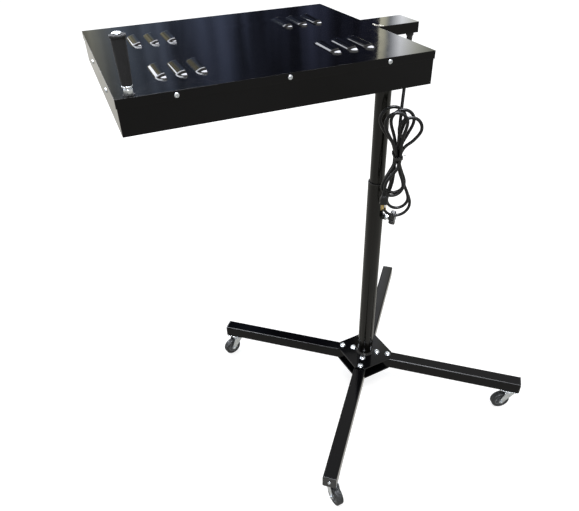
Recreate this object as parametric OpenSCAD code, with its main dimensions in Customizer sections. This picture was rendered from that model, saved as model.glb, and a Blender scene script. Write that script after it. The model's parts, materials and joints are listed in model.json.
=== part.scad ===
// Screen printing flash dryer: a heated head on a telescopic post with a four-leg caster base.
// Millimetres. Origin on the floor under the post, head towards -X, Z up.

/* [Head] */
// Length of the head, along X
head_l = 630; // [450:10:700]
// Width of the head, along Y
head_w = 538; // [420:2:600]
// Height of the head from cover to lower edge
head_h = 67; // [62:1:90]
// Height of the cover's top above the floor
head_top = 1220; // [1150:5:1300]
// Distance from the post axis to the head's end wall
head_gap = 54; // [45:1:80]
// Thickness of the steel sheet
sheet = 1.2; // [0.8:0.1:1.6]
// Depth of the cover's turned-down lip
lip_h = 16; // [12:1:20]
// Number of louvres in one group
louvre_count = 3; // [1:1:4]
// Distance between louvres
louvre_pitch = 38; // [32:1:45]
// Overall length of one louvre
louvre_l = 108; // [80:2:120]
// Width of one louvre
louvre_w = 20; // [16:1:24]
// Height of one louvre
louvre_rise = 7; // [4:0.5:8]

/* [Neck] */
// Width of the neck
neck_w = 84; // [76:2:110]
// Height of the neck
neck_h = 24; // [22:1:30]
// Distance from the post axis to the neck's free end
neck_reach = 58; // [56:1:80]

/* [Post] */
// Outer diameter of the lower post
post_d = 50; // [46:1:60]
// Wall of the lower post
post_wall = 3; // [2.5:0.1:3.5]
// Height of the lower post's top above the floor
post_top = 789; // [700:1:820]
// Outer diameter of the sliding mast
mast_d = 42; // [38:0.5:42]
// Wall of the sliding mast
mast_wall = 2; // [1.5:0.1:3]
// Length of mast that stays in the lower post
mast_engage = 284; // [240:1:300]

/* [Base] */
// Side of the square leg tube
leg_tube = 40; // [36:1:50]
// Wall of the leg tube
leg_wall = 2; // [1.5:0.1:3]
// Distance from the post axis to a leg's end
leg_reach = 522; // [460:2:600]
// Direction of the left leg, seen from above
leg_turn = 140; // [130:1:150]
// Thickness of the hub plates
plate_t = 5; // [4:0.5:8]
// Distance from the post axis to a hub plate's corner
plate_reach = 92; // [90:1:110]

/* [Casters] */
// Overall height of a caster
caster_h = 80; // [76:1:90]
// Diameter of a wheel
wheel_d = 60; // [50:1:62]
// Width of a tyre
wheel_w = 21; // [18:1:24]
// Distance from the swivel axis to the wheel axis
caster_trail = 24; // [20:1:26]

/* [Clamp knob] */
// Height of the clamp screw above the floor
clamp_z = 680; // [660:1:700]
// Direction of the clamp screw, seen from above
clamp_turn = -45; // [-50:1:-40]
// Diameter of the star knob
knob_d = 44; // [36:1:46]
// Diameter of the clamp screw
screw_d = 10; // [8:1:12]

/* [Handle] */
// Height of the handle above the cover
handle_h = 102; // [80:1:120]
// Diameter of the grip at its upper end
grip_d = 24.5; // [22:0.5:28]

/* [Heater] */
// Number of quartz heating tubes
tube_count = 6; // [4:1:8]
// Diameter of a heating tube
tube_d = 11; // [9:1:12]
// Thickness of the insulation board
board_t = 12; // [8:1:14]

/* [Mains lead] */
// Diameter of the lead
cord_d = 8.5; // [7:0.1:8.6]

/* [Hidden] */

$fn = 48;
over = 1;             // overrun of every cut
fit = 0.06;           // radial clearance of a running fit
seat = 0.3;           // gap between a loose piece and its seat
slip = 0.05;          // gap between pieces pressed together

// Head, worked out from the values above
head_x1 = -head_gap;
head_x0 = head_x1 - head_l;
head_bottom = head_top - head_h;
cover_under = head_top - sheet;
pan_x0 = head_x0 + sheet + seat;
pan_x1 = head_x1 - sheet - seat;
pan_w = head_w - 2 * (sheet + seat);
pan_top = cover_under - seat;
pan_flange = 18;
wall_x0 = pan_x0 + sheet;
wall_x1 = pan_x1 - sheet;
neck_bottom = head_top - neck_h;
neck_wall = 2.5;
neck_relief = 7;
neck_flange_t = 3;
neck_flange_w = 140;
neck_flange_h = 36;
neck_bolt_d = 6;
neck_bolt_l = 8;
neck_bolt_share = 0.4;
neck_bolt_z_share = [0.25, 0.75];

// Louvre hoods are a slice of a round bar with half domes at both ends
hood_r = (louvre_w * louvre_w + louvre_rise * louvre_rise) / (2 * louvre_rise);
hood_run = louvre_l - 2 * louvre_w;
louvre_x_share = [0.209, 0.767];   // middle of each group along the head's length
louvre_y_share = [-0.273, 0.19];   // middle of each row along the head's width

// Cover and bracket screws
head_screw_d = 4;
head_screw_head_d = 9.5;
head_screw_head_h = 2.6;
head_screw_l = 6;
long_screw_share = [-0.335, 0, 0.335];   // places along the head's length
short_screw_share = [-0.2, 0.2];         // places along the head's width
lip_screw_drop = 8;
bracket_screw_drop = 8;
bracket_screw_z = neck_bottom - bracket_screw_drop;
bracket_screw_l = 4.5;

// Heater
guard_wire_d = 3;
guard_count = 19;
guard_edge = 6;
heater_gap = 2;                        // clear height between the cross wires and the end caps
guard_z = head_bottom + sheet + seat + guard_wire_d / 2;
end_cap_d = 14;
end_cap_l = 22;
heater_z = guard_z + guard_wire_d / 2 + heater_gap + end_cap_d / 2;
bracket_t = 1.5;
shelf_l = 30;
shelf_z = heater_z + end_cap_d / 2 + seat;
reflector_z = shelf_z + bracket_t;
reflector_t = 0.8;
board_z = reflector_z + reflector_t;
board_inset = 6;
bracket_margin = 17.5;
bracket_half = pan_w / 2 - bracket_margin;
tube_pitch = 2 * bracket_half / tube_count;
block_l = 40;
block_w = 60;
block_h = 16;
block_gap = 44;
block_slots = 5;

// Post, mast and swivel
leg_bottom = caster_h;
leg_top = caster_h + leg_tube;
hub_top = leg_top + plate_t;
post_r = post_d / 2;
bore_r = post_r - post_wall;
mast_r = mast_d / 2;
mast_bottom = post_top - mast_engage;
mast_foot = 14;
thrust_t = 2.7;
cap_t = 2;
cap_spigot = 30;
mast_top = neck_bottom - seat - thrust_t - cap_t;
socket_l = 70;
socket_wall = 4;
weld_leg = 6;
sleeve_l = 40;
sleeve_flange = 2.5;

// Base
leg_names = ["left", "front", "right", "rear"];
leg_gap = 3;
leg_start = post_r + leg_gap;
leg_corner = 4;
end_cap_t = 3;
end_cap_plug = 12;
end_screw_d = 4;
end_screw_head_d = 9;
end_screw_head_h = 2.4;
plate_corner = 30;
hub_bolt_d = 10;
hub_bolt_head_d = 18;
hub_bolt_dome = 6.5;
hub_bolt_r = [plate_reach - 50, plate_reach - 12];
hub_nut_d = 18;
hub_nut_h = 8;
hole_slack = 0.2;

// Casters
swivel_inset = 30;
swivel_r = leg_reach - swivel_inset;
caster_plate_l = 54;
caster_plate_t = 2.5;
race_d = 34;
race_h = 9;
kingpin_d = 8;
kingpin_head_d = 16;
kingpin_head_h = 3.5;
fork_t = 2;
fork_gap = 25;
fork_top_r = 18;
fork_lobe_r = 7.5;
fork_back_share = 0.85;    // rear edge of the fork's side, of its top radius
axle_d = 6;
axle_head_d = 10;
axle_head_h = 4;
axle_z = wheel_d / 2;
tyre_t = 10;
core_d = wheel_d - 2 * tyre_t;
core_inset = 1.5;
core_w = wheel_w - 2 * core_inset;
hub_d = 16;
tyre_round = 4;
race_bottom = leg_bottom - caster_plate_t - race_h;
crown_top = race_bottom - seat;
crown_bottom = crown_top - fork_t;
caster_turns = [195, 275, 165, 60];    // direction each wheel trails in

// Clamp
boss_d = 18;
boss_l = 8;
boss_end = post_r + boss_l;
clamp_washer_d = 22;
clamp_washer_t = 2.2;
jam_nut_d = 17;
jam_nut_l = 7;
knob_t = 15;
knob_neck = 4;
knob_lobes = 5;
knob_lobe_r = 8;
knob_core_d = 28;
stud_gap = 1.6;                        // the screw stands loosened, clear of the mast
knob_neck_share = 0.7;                 // neck's width as a share of the core's
knob_start = boss_end + seat + clamp_washer_t + jam_nut_l;

// Handle
handle_inset_x = 27;
handle_inset_y = 14.5;
handle_x = head_x0 + handle_inset_x;
handle_y = -head_w / 2 + handle_inset_y;
rod_d = 10;
foot_d = 20;
foot_h = 1.5;
rod_nut_d = 17;
rod_nut_h = 9;
rod_gap = 3;
rod_washer_d = 19;
rod_washer_h = 3;
grip_z = head_top + foot_h + rod_nut_h + rod_gap + rod_washer_h;
grip_foot_share = 0.75;
grip_ring_d = 28;
grip_ring_h = 5.5;
rod_cap_d = 16.5;
rod_cap_h = 3.5;
rod_below = 12;

// Switch, on the neck's end face
switch_y = 16;
bezel_w = 21;
bezel_h = 15;
bezel_t = 2;
switch_body_w = 18.8;
switch_body_h = 12.8;
switch_depth = 16;
switch_slot_w = 16;
switch_slot_h = 10.2;
switch_slot_depth = 8;
switch_z = neck_bottom + neck_h / 2;
rocker_tilt = 8;
rocker_pivot = 2.5;
rocker_half = 7.2;
rocker_w = 9.6;
rocker_rise = 4.6;
rocker_dip = 3.4;
rocker_back = 3;
rocker_bore = 1.6;

// Gland and lead. The lead leaves the neck's underside and hangs, tied in a hank, in front of the post.
gland_x = 44;
gland_y = -29;
gland_nut_d = 18;
gland_nut_h = 8;
gland_lock_h = 4.5;
gland_body_d = 12.4;
relief_l = 28;
relief_d0 = 15;
relief_d1 = 11;
lead_sides = 10;
route = [
    [44, -29, 1148], [43.5, -30, 1130], [41.5, -32.5, 1110], [38, -36.5, 1092], [34, -42, 1074],
    [30, -47, 1058], [25.5, -52.5, 1040], [21.5, -57.5, 1022], [18.5, -61.5, 1004], [17, -63, 986]];
hank_centre = [4.6, -82.5, 904];
hank_turn = -22;
hank_gap = 0.5;                        // clear space between the layers
hank_column_gap = 0.45;                // half the clear space between the two strands at the waist
hank_column = cord_d / 2 + hank_column_gap;
hank_rise = 50;                        // straight start above the waist
climb_h = 40;                          // height over which a strand climbs half a layer
lobe_open = 18;                        // how far past its middle a fold's arc runs
hank_sides = 6;
run_steps = 3;
arc_steps = 6;
reach_share = 0.4;                     // pull of a run's ends as a share of its length
check_steps = 6;                       // points per step where the strands' gap is measured
check_skip = 18;                       // points passed over along the lead before the gap counts
// Each fold's middle and radius, across and up from the waist
lower_folds = [[13, -154, 37], [12, -132, 29], [-3, -79, 28], [-8, -84, 28]];
upper_folds = [[-17, 94, 32], [6, 92, 29], [26, 74, 29], [-12, 92, 28]];
plug_across = -31;
plug_drop = 88;
plug_out = 14.5;                       // from the front layer out to the plug
tie_w = 7;
tie_t = 1.2;
tie_gap = 1.2;
plug_top_d = 12;
plug_d = 23;
plug_neck_l = 24;
plug_l = 40;
plug_flat = 18;
pin_l = 17;
pin_w = 6.3;
pin_t = 1.5;
pin_spacing = 12.7;
earth_d = 4.8;
earth_l = 20;
earth_offset = 6;

// A rectangle with round corners
module rounded_rect(w, h, r) {
    square([w - 2 * r, h], center = true);
    square([w, h - 2 * r], center = true);
    for (x = [-1, 1], y = [-1, 1])
        translate([x * (w / 2 - r), y * (h / 2 - r)]) circle(r = r);
}

// A box given by its two corners
module span(low, high) {
    translate(low) cube(high - low);
}

// A pan-head screw along +Z, its head's underside at the origin
module pan_screw(d, head_d, head_h, length) {
    translate([0, 0, -length]) cylinder(d = d, h = length + over / 2);
    ball_r = (head_d * head_d / 4 + head_h * head_h) / (2 * head_h);
    intersection() {
        cylinder(d = head_d, h = head_h);
        translate([0, 0, head_h - ball_r]) sphere(r = ball_r);
    }
}

// A rectangular tube or bar outline turned along a leg
module along_leg(index) {
    rotate([0, 0, leg_turn + index * 90]) children();
}

module hub_outline() {
    half = plate_corner / 2;
    polygon([for (k = [0:3]) let (a = leg_turn + 90 * k)
        for (side = [-half, half])
            [plate_reach * cos(a) - side * sin(a), plate_reach * sin(a) + side * cos(a)]]);
}

module hub_bolt_places() {
    for (k = [0:3]) along_leg(k)
        for (r = hub_bolt_r) translate([r, 0, 0]) children();
}

module hub_plate_top() {
    color("#1c1c1e") difference() {
        translate([0, 0, leg_top]) linear_extrude(plate_t) hub_outline();
        translate([0, 0, leg_top - over]) cylinder(r = post_r + hole_slack, h = plate_t + 2 * over);
        hub_bolt_places() translate([0, 0, leg_top - over])
            cylinder(r = hub_bolt_d / 2 + hole_slack, h = plate_t + 2 * over);
    }
}

module hub_plate_bottom() {
    color("#1c1c1e") difference() {
        translate([0, 0, leg_bottom - plate_t]) linear_extrude(plate_t) hub_outline();
        hub_bolt_places() translate([0, 0, leg_bottom - plate_t - over])
            cylinder(r = hub_bolt_d / 2 + hole_slack, h = plate_t + 2 * over);
    }
}

module leg(index) {
    tube_l = leg_reach - end_cap_t - leg_start;
    color("#1a1a1c") along_leg(index) difference() {
        translate([leg_start, 0, leg_bottom + leg_tube / 2]) rotate([90, 0, 90])
            linear_extrude(tube_l) difference() {
                rounded_rect(leg_tube, leg_tube, leg_corner);
                rounded_rect(leg_tube - 2 * leg_wall, leg_tube - 2 * leg_wall, leg_corner - leg_wall);
            }
        for (r = hub_bolt_r) translate([r, 0, leg_bottom - over])
            cylinder(r = hub_bolt_d / 2 + hole_slack, h = leg_tube + 2 * over);
    }
}

module leg_end_caps() {
    inner = leg_tube - 2 * leg_wall - 2 * hole_slack;
    color("#141414") for (k = [0:3]) along_leg(k)
        translate([leg_reach - end_cap_t, 0, leg_bottom + leg_tube / 2]) rotate([90, 0, 90])
            difference() {
                union() {
                    linear_extrude(end_cap_t) rounded_rect(leg_tube, leg_tube, leg_corner);
                    translate([0, 0, -end_cap_plug]) linear_extrude(end_cap_plug + over / 2)
                        rounded_rect(inner, inner, leg_corner - leg_wall);
                }
                translate([0, 0, -end_cap_plug - over])
                    cylinder(r = end_screw_d / 2 + slip, h = end_cap_plug + end_cap_t + 2 * over);
            }
}

module end_cap_screws() {
    color("#e8e8e8") for (k = [0:3]) along_leg(k)
        translate([leg_reach, 0, leg_bottom + leg_tube / 2]) rotate([0, 90, 0])
            pan_screw(end_screw_d, end_screw_head_d, end_screw_head_h, end_cap_plug);
}

module hub_bolts() {
    dome_r = (hub_bolt_head_d * hub_bolt_head_d / 4 + hub_bolt_dome * hub_bolt_dome) / (2 * hub_bolt_dome);
    color("#dfe3e6") hub_bolt_places() {
        translate([0, 0, leg_bottom - plate_t - hub_nut_h - hole_slack])
            cylinder(d = hub_bolt_d, h = leg_tube + 2 * plate_t + hub_nut_h + 2 * hole_slack);
        translate([0, 0, leg_bottom - plate_t - hub_nut_h]) cylinder(d = hub_nut_d, h = hub_nut_h, $fn = 6);
        intersection() {
            translate([0, 0, hub_top]) cylinder(d = hub_bolt_head_d, h = hub_bolt_dome);
            translate([0, 0, hub_top + hub_bolt_dome - dome_r]) sphere(r = dome_r);
        }
    }
}

module clamp_place() {
    translate([0, 0, clamp_z]) rotate([0, 0, clamp_turn]) rotate([0, 90, 0]) children();
}

module outer_post() {
    color("#1a1a1b") difference() {
        rotate_extrude() polygon([
            [bore_r, leg_bottom], [post_r, leg_bottom], [post_r, hub_top],
            [post_r + weld_leg, hub_top], [post_r, hub_top + weld_leg],
            [post_r, post_top], [bore_r, post_top]]);
        clamp_place() cylinder(r = screw_d / 2 + seat, h = post_d);
    }
}

module guide_sleeve() {
    color("#101010") rotate_extrude() polygon([
        [mast_r + fit, post_top - sleeve_l], [bore_r - slip, post_top - sleeve_l],
        [bore_r - slip, post_top], [post_r, post_top],
        [post_r, post_top + sleeve_flange], [mast_r + fit, post_top + sleeve_flange]]);
}

module clamp_nut() {
    color("#1c1c1c") difference() {
        clamp_place() cylinder(d = boss_d, h = boss_end);
        translate([0, 0, clamp_z - boss_d]) cylinder(r = post_r + slip, h = 2 * boss_d);
        clamp_place() cylinder(r = screw_d / 2 + fit, h = boss_end + over);
    }
}

module clamp_washer() {
    color("#d5d8da") clamp_place() translate([0, 0, boss_end + seat]) difference() {
        cylinder(d = clamp_washer_d, h = clamp_washer_t);
        translate([0, 0, -over]) cylinder(r = screw_d / 2 + fit, h = clamp_washer_t + 2 * over);
    }
}

module clamp_stud() {
    stud_end = knob_start + knob_neck + knob_t / 2;
    color("#e6e8ea") clamp_place() {
        translate([0, 0, mast_r + stud_gap]) cylinder(d = screw_d, h = stud_end - mast_r - stud_gap);
        translate([0, 0, knob_start - jam_nut_l]) cylinder(d = jam_nut_d, h = jam_nut_l, $fn = 6);
    }
}

module star_knob() {
    ring_r = knob_d / 2 - knob_lobe_r;
    color("#161616") clamp_place() translate([0, 0, knob_start]) difference() {
        union() {
            cylinder(d = knob_core_d * knob_neck_share, h = knob_neck + over / 2);
            translate([0, 0, knob_neck]) {
                cylinder(d = knob_core_d, h = knob_t);
                for (k = [0:knob_lobes - 1]) rotate([0, 0, k * 360 / knob_lobes])
                    translate([ring_r, 0, 0]) cylinder(r = knob_lobe_r, h = knob_t);
            }
        }
        translate([0, 0, -over]) cylinder(r = screw_d / 2 + slip, h = over + knob_neck + knob_t / 2 + slip);
    }
}

// Places a caster's parts: X is the way the wheel trails, the origin is on the floor under the swivel
module at_caster(index) {
    along_leg(index) translate([swivel_r, 0, 0]) rotate([0, 0, caster_turns[index] - leg_turn - index * 90])
        children();
}

module caster_plates() {
    color("#cfd3d6") for (k = [0:3]) along_leg(k) difference() {
        span([swivel_r - caster_plate_l / 2, -leg_tube / 2, leg_bottom - caster_plate_t],
             [swivel_r + caster_plate_l / 2, leg_tube / 2, leg_bottom]);
        translate([swivel_r, 0, leg_bottom - caster_plate_t - over])
            cylinder(r = kingpin_d / 2 + slip, h = caster_plate_t + 2 * over);
    }
}

module caster_kingpins() {
    head_z = crown_bottom - seat - kingpin_head_h;
    color("#c9cdd0") for (k = [0:3]) at_caster(k) {
        translate([0, 0, head_z]) cylinder(d = kingpin_d, h = leg_bottom - head_z);
        translate([0, 0, head_z]) cylinder(d = kingpin_head_d, h = kingpin_head_h);
        translate([0, 0, race_bottom])
            cylinder(d1 = race_d, d2 = race_d - race_h, h = race_h - slip);
    }
}

module caster_fork(index) {
    inner = fork_gap / 2;
    back = -fork_top_r * fork_back_share;
    color("#dcdfe2") at_caster(index) difference() {
        union() {
            translate([0, 0, crown_bottom]) cylinder(r = fork_top_r, h = fork_t);
            span([back, -inner - fork_t, crown_bottom], [fork_top_r, inner + fork_t, crown_top]);
            for (y = [-inner - fork_t, inner]) translate([0, y + fork_t, 0]) rotate([90, 0, 0])
                linear_extrude(fork_t) {
                    polygon([[back, crown_top], [back, crown_bottom - fork_t],
                             [caster_trail - fork_lobe_r, axle_z], [caster_trail + fork_lobe_r, axle_z],
                             [fork_top_r, crown_bottom - fork_t], [fork_top_r, crown_top]]);
                    translate([caster_trail, axle_z]) circle(r = fork_lobe_r);
                }
        }
        translate([0, 0, crown_bottom - over]) cylinder(r = kingpin_d / 2 + fit, h = fork_t + 2 * over);
        translate([caster_trail, -fork_gap, axle_z]) rotate([-90, 0, 0])
            cylinder(r = axle_d / 2 + slip, h = 2 * fork_gap);
    }
}

module at_axle(index) {
    at_caster(index) translate([caster_trail, 0, axle_z]) rotate([-90, 0, 0]) children();
}

module wheel_axle(index) {
    half = fork_gap / 2 + fork_t;
    color("#e2e4e6") at_axle(index) {
        translate([0, 0, -half]) cylinder(d = axle_d, h = 2 * half + axle_head_h);
        translate([0, 0, -half - axle_head_h]) cylinder(d = axle_head_d, h = axle_head_h, $fn = 6);
        translate([0, 0, half]) cylinder(d = axle_head_d, h = axle_head_h - over, $fn = 6);
    }
}

module wheel_core(index) {
    color("#4b4d4f") at_axle(index) difference() {
        union() {
            translate([0, 0, -core_w / 2]) cylinder(d = core_d - 2 * slip, h = core_w);
            translate([0, 0, seat - fork_gap / 2]) cylinder(d = hub_d, h = fork_gap - 2 * seat);
        }
        translate([0, 0, -fork_gap]) cylinder(r = axle_d / 2 + fit, h = 2 * fork_gap);
    }
}

module wheel_tyre(index) {
    color("#2b2d2e") at_axle(index) rotate_extrude() {
        edge = wheel_w / 2 - tyre_round;
        translate([core_d / 2, -wheel_w / 2]) square([wheel_d / 2 - core_d / 2 - tyre_round, wheel_w]);
        translate([core_d / 2, -edge]) square([wheel_d / 2 - core_d / 2, 2 * edge]);
        for (y = [-edge, edge]) translate([wheel_d / 2 - tyre_round, y]) circle(r = tyre_round);
    }
}

module inner_post() {
    color("#1b1b1c") rotate_extrude() polygon([
        [mast_r - mast_wall, mast_bottom], [bore_r - 2 * slip, mast_bottom],
        [bore_r - 2 * slip, mast_bottom + mast_foot], [mast_r, mast_bottom + mast_foot],
        [mast_r, mast_top], [mast_r - mast_wall, mast_top]]);
}

module post_cap() {
    color("#2a2a2c") rotate_extrude() polygon([
        [0, mast_top - cap_spigot], [mast_r - mast_wall - slip, mast_top - cap_spigot],
        [mast_r - mast_wall - slip, mast_top], [mast_r, mast_top],
        [mast_r, mast_top + cap_t], [0, mast_top + cap_t]]);
}

module thrust_disc() {
    color("#e9e6dc") translate([0, 0, mast_top + cap_t]) cylinder(r = mast_r - slip, h = thrust_t);
}

// Screw places round the head: long sides through the cover's lip, short sides into the tube brackets
module lip_screws() {
    for (s = long_screw_share, side = [-1, 1])
        translate([head_x0 + head_l / 2 + s * head_l, side * head_w / 2, head_top - lip_screw_drop])
            rotate([-90 * side, 0, 0]) children();
}

module bracket_screws() {
    for (s = short_screw_share, end = [0, 1])
        translate([end == 0 ? pan_x0 : pan_x1, s * head_w, bracket_screw_z])
            rotate([0, end == 0 ? -90 : 90, 0]) children();
}

module housing_pan() {
    hole = head_screw_d + 2 * hole_slack;
    color("#17171a") difference() {
        span([pan_x0, -pan_w / 2, head_bottom], [pan_x1, pan_w / 2, pan_top]);
        span([wall_x0, sheet - pan_w / 2, head_bottom + sheet],
             [wall_x1, pan_w / 2 - sheet, pan_top + over]);
        span([pan_x0 + pan_flange, pan_flange - pan_w / 2, head_bottom - over],
             [pan_x1 - pan_flange, pan_w / 2 - pan_flange, head_bottom + sheet + over]);
        lip_screws() translate([0, 0, -head_screw_l - over]) cylinder(d = hole, h = head_screw_l + over);
        bracket_screws() translate([0, 0, -bracket_screw_l]) cylinder(d = hole, h = bracket_screw_l + over);
        translate([wall_x1 - over, 0, switch_z]) rotate([0, 90, 0])
            cylinder(d = neck_h / 2, h = sheet + 2 * over);
        neck_bolt_places() translate([0, 0, -neck_bolt_l])
            cylinder(d = neck_bolt_d + 2 * hole_slack, h = 2 * neck_bolt_l);
    }
}

// Half a dome at each end of a half bar, cut off flat where the louvre opens
module louvre(r) {
    intersection() {
        translate([0, 0, louvre_rise - hood_r]) {
            for (y = [-hood_run / 2, hood_run / 2]) translate([0, y, 0]) sphere(r = r);
            translate([0, hood_run / 2, 0]) rotate([90, 0, 0]) cylinder(r = r, h = hood_run);
        }
        children();
    }
}

module louvre_places() {
    for (gx = louvre_x_share, gy = louvre_y_share)
        for (k = [0:louvre_count - 1])
            translate([head_x0 + gx * head_l + (k - (louvre_count - 1) / 2) * louvre_pitch + louvre_w / 2,
                       gy * head_w, head_top])
                children();
}

module top_cover() {
    hole = head_screw_d + 2 * hole_slack;
    half = neck_w / 2;
    color("#15161a") difference() {
        union() {
            difference() {
                span([head_x0, -head_w / 2, head_top - lip_h], [head_x1, head_w / 2, head_top]);
                span([head_x0 + sheet, sheet - head_w / 2, head_top - lip_h - over],
                     [head_x1 - sheet, head_w / 2 - sheet, cover_under]);
                span([head_x1 - sheet - over, -half - neck_relief, head_top - lip_h - over],
                     [head_x1 + over, half + neck_relief, cover_under]);
            }
            span([head_x1 - over, -half, cover_under], [neck_reach, half, head_top]);
            louvre_places() louvre(hood_r)
                span([-louvre_w, -louvre_l, -sheet / 2], [0, louvre_l, louvre_rise + over]);
        }
        louvre_places() louvre(hood_r - sheet)
            span([-louvre_w, -louvre_l, -sheet - over], [over / 2, louvre_l, louvre_rise]);
        lip_screws() translate([0, 0, -head_screw_l]) cylinder(d = hole, h = head_screw_l + over);
        translate([handle_x, handle_y, cover_under - over])
            cylinder(d = rod_d + 2 * hole_slack, h = sheet + 2 * over);
    }
}

module housing_screws() {
    color("#f0f0f0") {
        lip_screws() pan_screw(head_screw_d, head_screw_head_d, head_screw_head_h, head_screw_l);
        bracket_screws() pan_screw(head_screw_d, head_screw_head_d, head_screw_head_h, bracket_screw_l);
    }
}

// The neck: a channel under the cover's tongue, with a flange bolted to the pan's end wall
module neck_bolt_places() {
    for (y = [-neck_bolt_share, neck_bolt_share] * neck_flange_w, z = neck_bolt_z_share * neck_flange_h)
        translate([pan_x1 + neck_flange_t, y, neck_bottom - z]) rotate([0, 90, 0]) children();
}

module neck_channel() {
    half = neck_w / 2;
    color("#1a1a1c") difference() {
        union() {
            span([pan_x1, -half, neck_bottom], [neck_reach, half, cover_under - slip]);
            span([pan_x1, -neck_flange_w / 2, neck_bottom - neck_flange_h],
                 [pan_x1 + neck_flange_t, neck_flange_w / 2, neck_bottom + neck_wall]);
        }
        span([pan_x1 + neck_wall, neck_wall - half, neck_bottom + neck_wall],
             [neck_reach - neck_wall, half - neck_wall, head_top]);
        translate([pan_x1 - over, 0, switch_z]) rotate([0, 90, 0])
            cylinder(d = neck_h / 2, h = neck_wall + 2 * over);
        translate([gland_x, gland_y, neck_bottom - over])
            cylinder(r = gland_body_d / 2 + slip, h = neck_wall + 2 * over);
        translate([neck_reach - neck_wall - over, switch_y - switch_body_w / 2 - hole_slack,
                   switch_z - switch_body_h / 2 - hole_slack])
            cube([neck_wall + 2 * over, switch_body_w + 2 * hole_slack, switch_body_h + 2 * hole_slack]);
        neck_bolt_places() translate([0, 0, -neck_bolt_l])
            cylinder(d = neck_bolt_d + 2 * hole_slack, h = 2 * neck_bolt_l);
    }
}

module neck_bolts() {
    color("#d8dadc") neck_bolt_places() {
        cylinder(d = 2 * neck_bolt_d, h = neck_bolt_d / 2, $fn = 6);
        translate([0, 0, -neck_bolt_l]) cylinder(d = neck_bolt_d, h = neck_bolt_l + over / 2);
        translate([0, 0, -neck_bolt_l])
            cylinder(d = 2 * neck_bolt_d, h = neck_bolt_l - neck_flange_t - sheet, $fn = 6);
    }
}

module swivel_socket() {
    color("#1a1a1b") translate([0, 0, neck_bottom - socket_l]) difference() {
        cylinder(r = mast_r + socket_wall, h = socket_l);
        translate([0, 0, -over]) cylinder(r = mast_r + fit, h = socket_l + 2 * over);
    }
}

module insulation_board() {
    color("#e8e2d2") span([wall_x0 + board_inset, -bracket_half, board_z],
                          [wall_x1 - board_inset, bracket_half, board_z + board_t]);
}

module reflector() {
    color("#c8ccd0") span([wall_x0 + board_inset, -bracket_half, reflector_z],
                          [wall_x1 - board_inset, bracket_half, board_z]);
}

// One bracket stands at each end: flange on the wall, shelf under the reflector, plate that holds the tubes
module bracket_pair() {
    translate([wall_x0 + seat, 0, 0]) children();
    translate([wall_x1 - seat, 0, 0]) mirror([1, 0, 0]) children();
}

module tube_brackets() {
    screw_hole = head_screw_d + 2 * hole_slack;
    color("#b9bdc1") difference() {
        bracket_pair() tube_bracket(screw_hole);
        neck_bolt_places() translate([0, 0, -neck_bolt_l - seat])
            cylinder(r = neck_bolt_d + seat, h = neck_bolt_l);
    }
}

module tube_bracket(screw_hole) {
    difference() {
        union() {
            span([0, -bracket_half, shelf_z], [bracket_t, bracket_half, bracket_screw_z + head_screw_d]);
            span([0, -bracket_half, shelf_z], [shelf_l, bracket_half, reflector_z]);
            span([shelf_l - bracket_t, -bracket_half, heater_z - end_cap_d / 2],
                 [shelf_l, bracket_half, reflector_z]);
        }
        for (k = [0:tube_count - 1])
            translate([shelf_l - bracket_t - over, (k - (tube_count - 1) / 2) * tube_pitch, heater_z])
                rotate([0, 90, 0]) cylinder(d = end_cap_d + 2 * slip, h = bracket_t + 2 * over);
        for (s = short_screw_share)
            translate([-over, s * head_w, bracket_screw_z]) rotate([0, 90, 0])
                cylinder(d = screw_hole, h = bracket_t + 2 * over);
    }
}

module heater_end_caps() {
    color("#f2efe6") bracket_pair() for (k = [0:tube_count - 1])
        translate([shelf_l - end_cap_l / 2, (k - (tube_count - 1) / 2) * tube_pitch, heater_z])
            rotate([0, 90, 0]) cylinder(d = end_cap_d, h = end_cap_l);
}

module heater_tubes() {
    x0 = wall_x0 + seat + shelf_l + end_cap_l / 2;
    x1 = wall_x1 - seat - shelf_l - end_cap_l / 2;
    color("#d9d2c6") for (k = [0:tube_count - 1])
        translate([x0, (k - (tube_count - 1) / 2) * tube_pitch, heater_z])
            rotate([0, 90, 0]) cylinder(d = tube_d, h = x1 - x0);
}

module guard_grille() {
    x0 = wall_x0 + guard_edge;
    x1 = wall_x1 - guard_edge;
    half = pan_w / 2 - sheet - guard_edge;
    long_z = guard_z + guard_wire_d + slip;
    inner_x0 = wall_x0 + shelf_l + 2 * guard_edge;
    inner_x1 = wall_x1 - shelf_l - 2 * guard_edge;
    color("#c2c6ca") {
        for (k = [0:guard_count - 1])
            translate([x0 + guard_edge + k * (x1 - x0 - 2 * guard_edge) / (guard_count - 1), half, guard_z])
                rotate([90, 0, 0]) cylinder(d = guard_wire_d, h = 2 * half, $fn = 24);
        for (y = [-half + guard_edge, half - guard_edge])
            translate([x0, y, long_z]) rotate([0, 90, 0]) cylinder(d = guard_wire_d, h = x1 - x0, $fn = 24);
        for (y = [-tube_pitch * 2, 0, tube_pitch * 2])
            translate([inner_x0, y, long_z]) rotate([0, 90, 0])
                cylinder(d = guard_wire_d, h = inner_x1 - inner_x0, $fn = 24);
    }
}

module terminal_block() {
    x1 = wall_x1 - block_gap;
    slot = block_w / (2 * block_slots);
    color("#efece2") difference() {
        span([x1 - block_l, -block_w / 2, board_z + board_t],
             [x1, block_w / 2, board_z + board_t + block_h]);
        for (k = [0:block_slots - 1])
            translate([x1 - block_l - over, (k - (block_slots - 1) / 2) * 2 * slot - slot / 2,
                       board_z + board_t + block_h / 2])
                cube([block_l + 2 * over, slot, block_h]);
    }
}

module at_handle() {
    translate([handle_x, handle_y, 0]) children();
}

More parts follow.
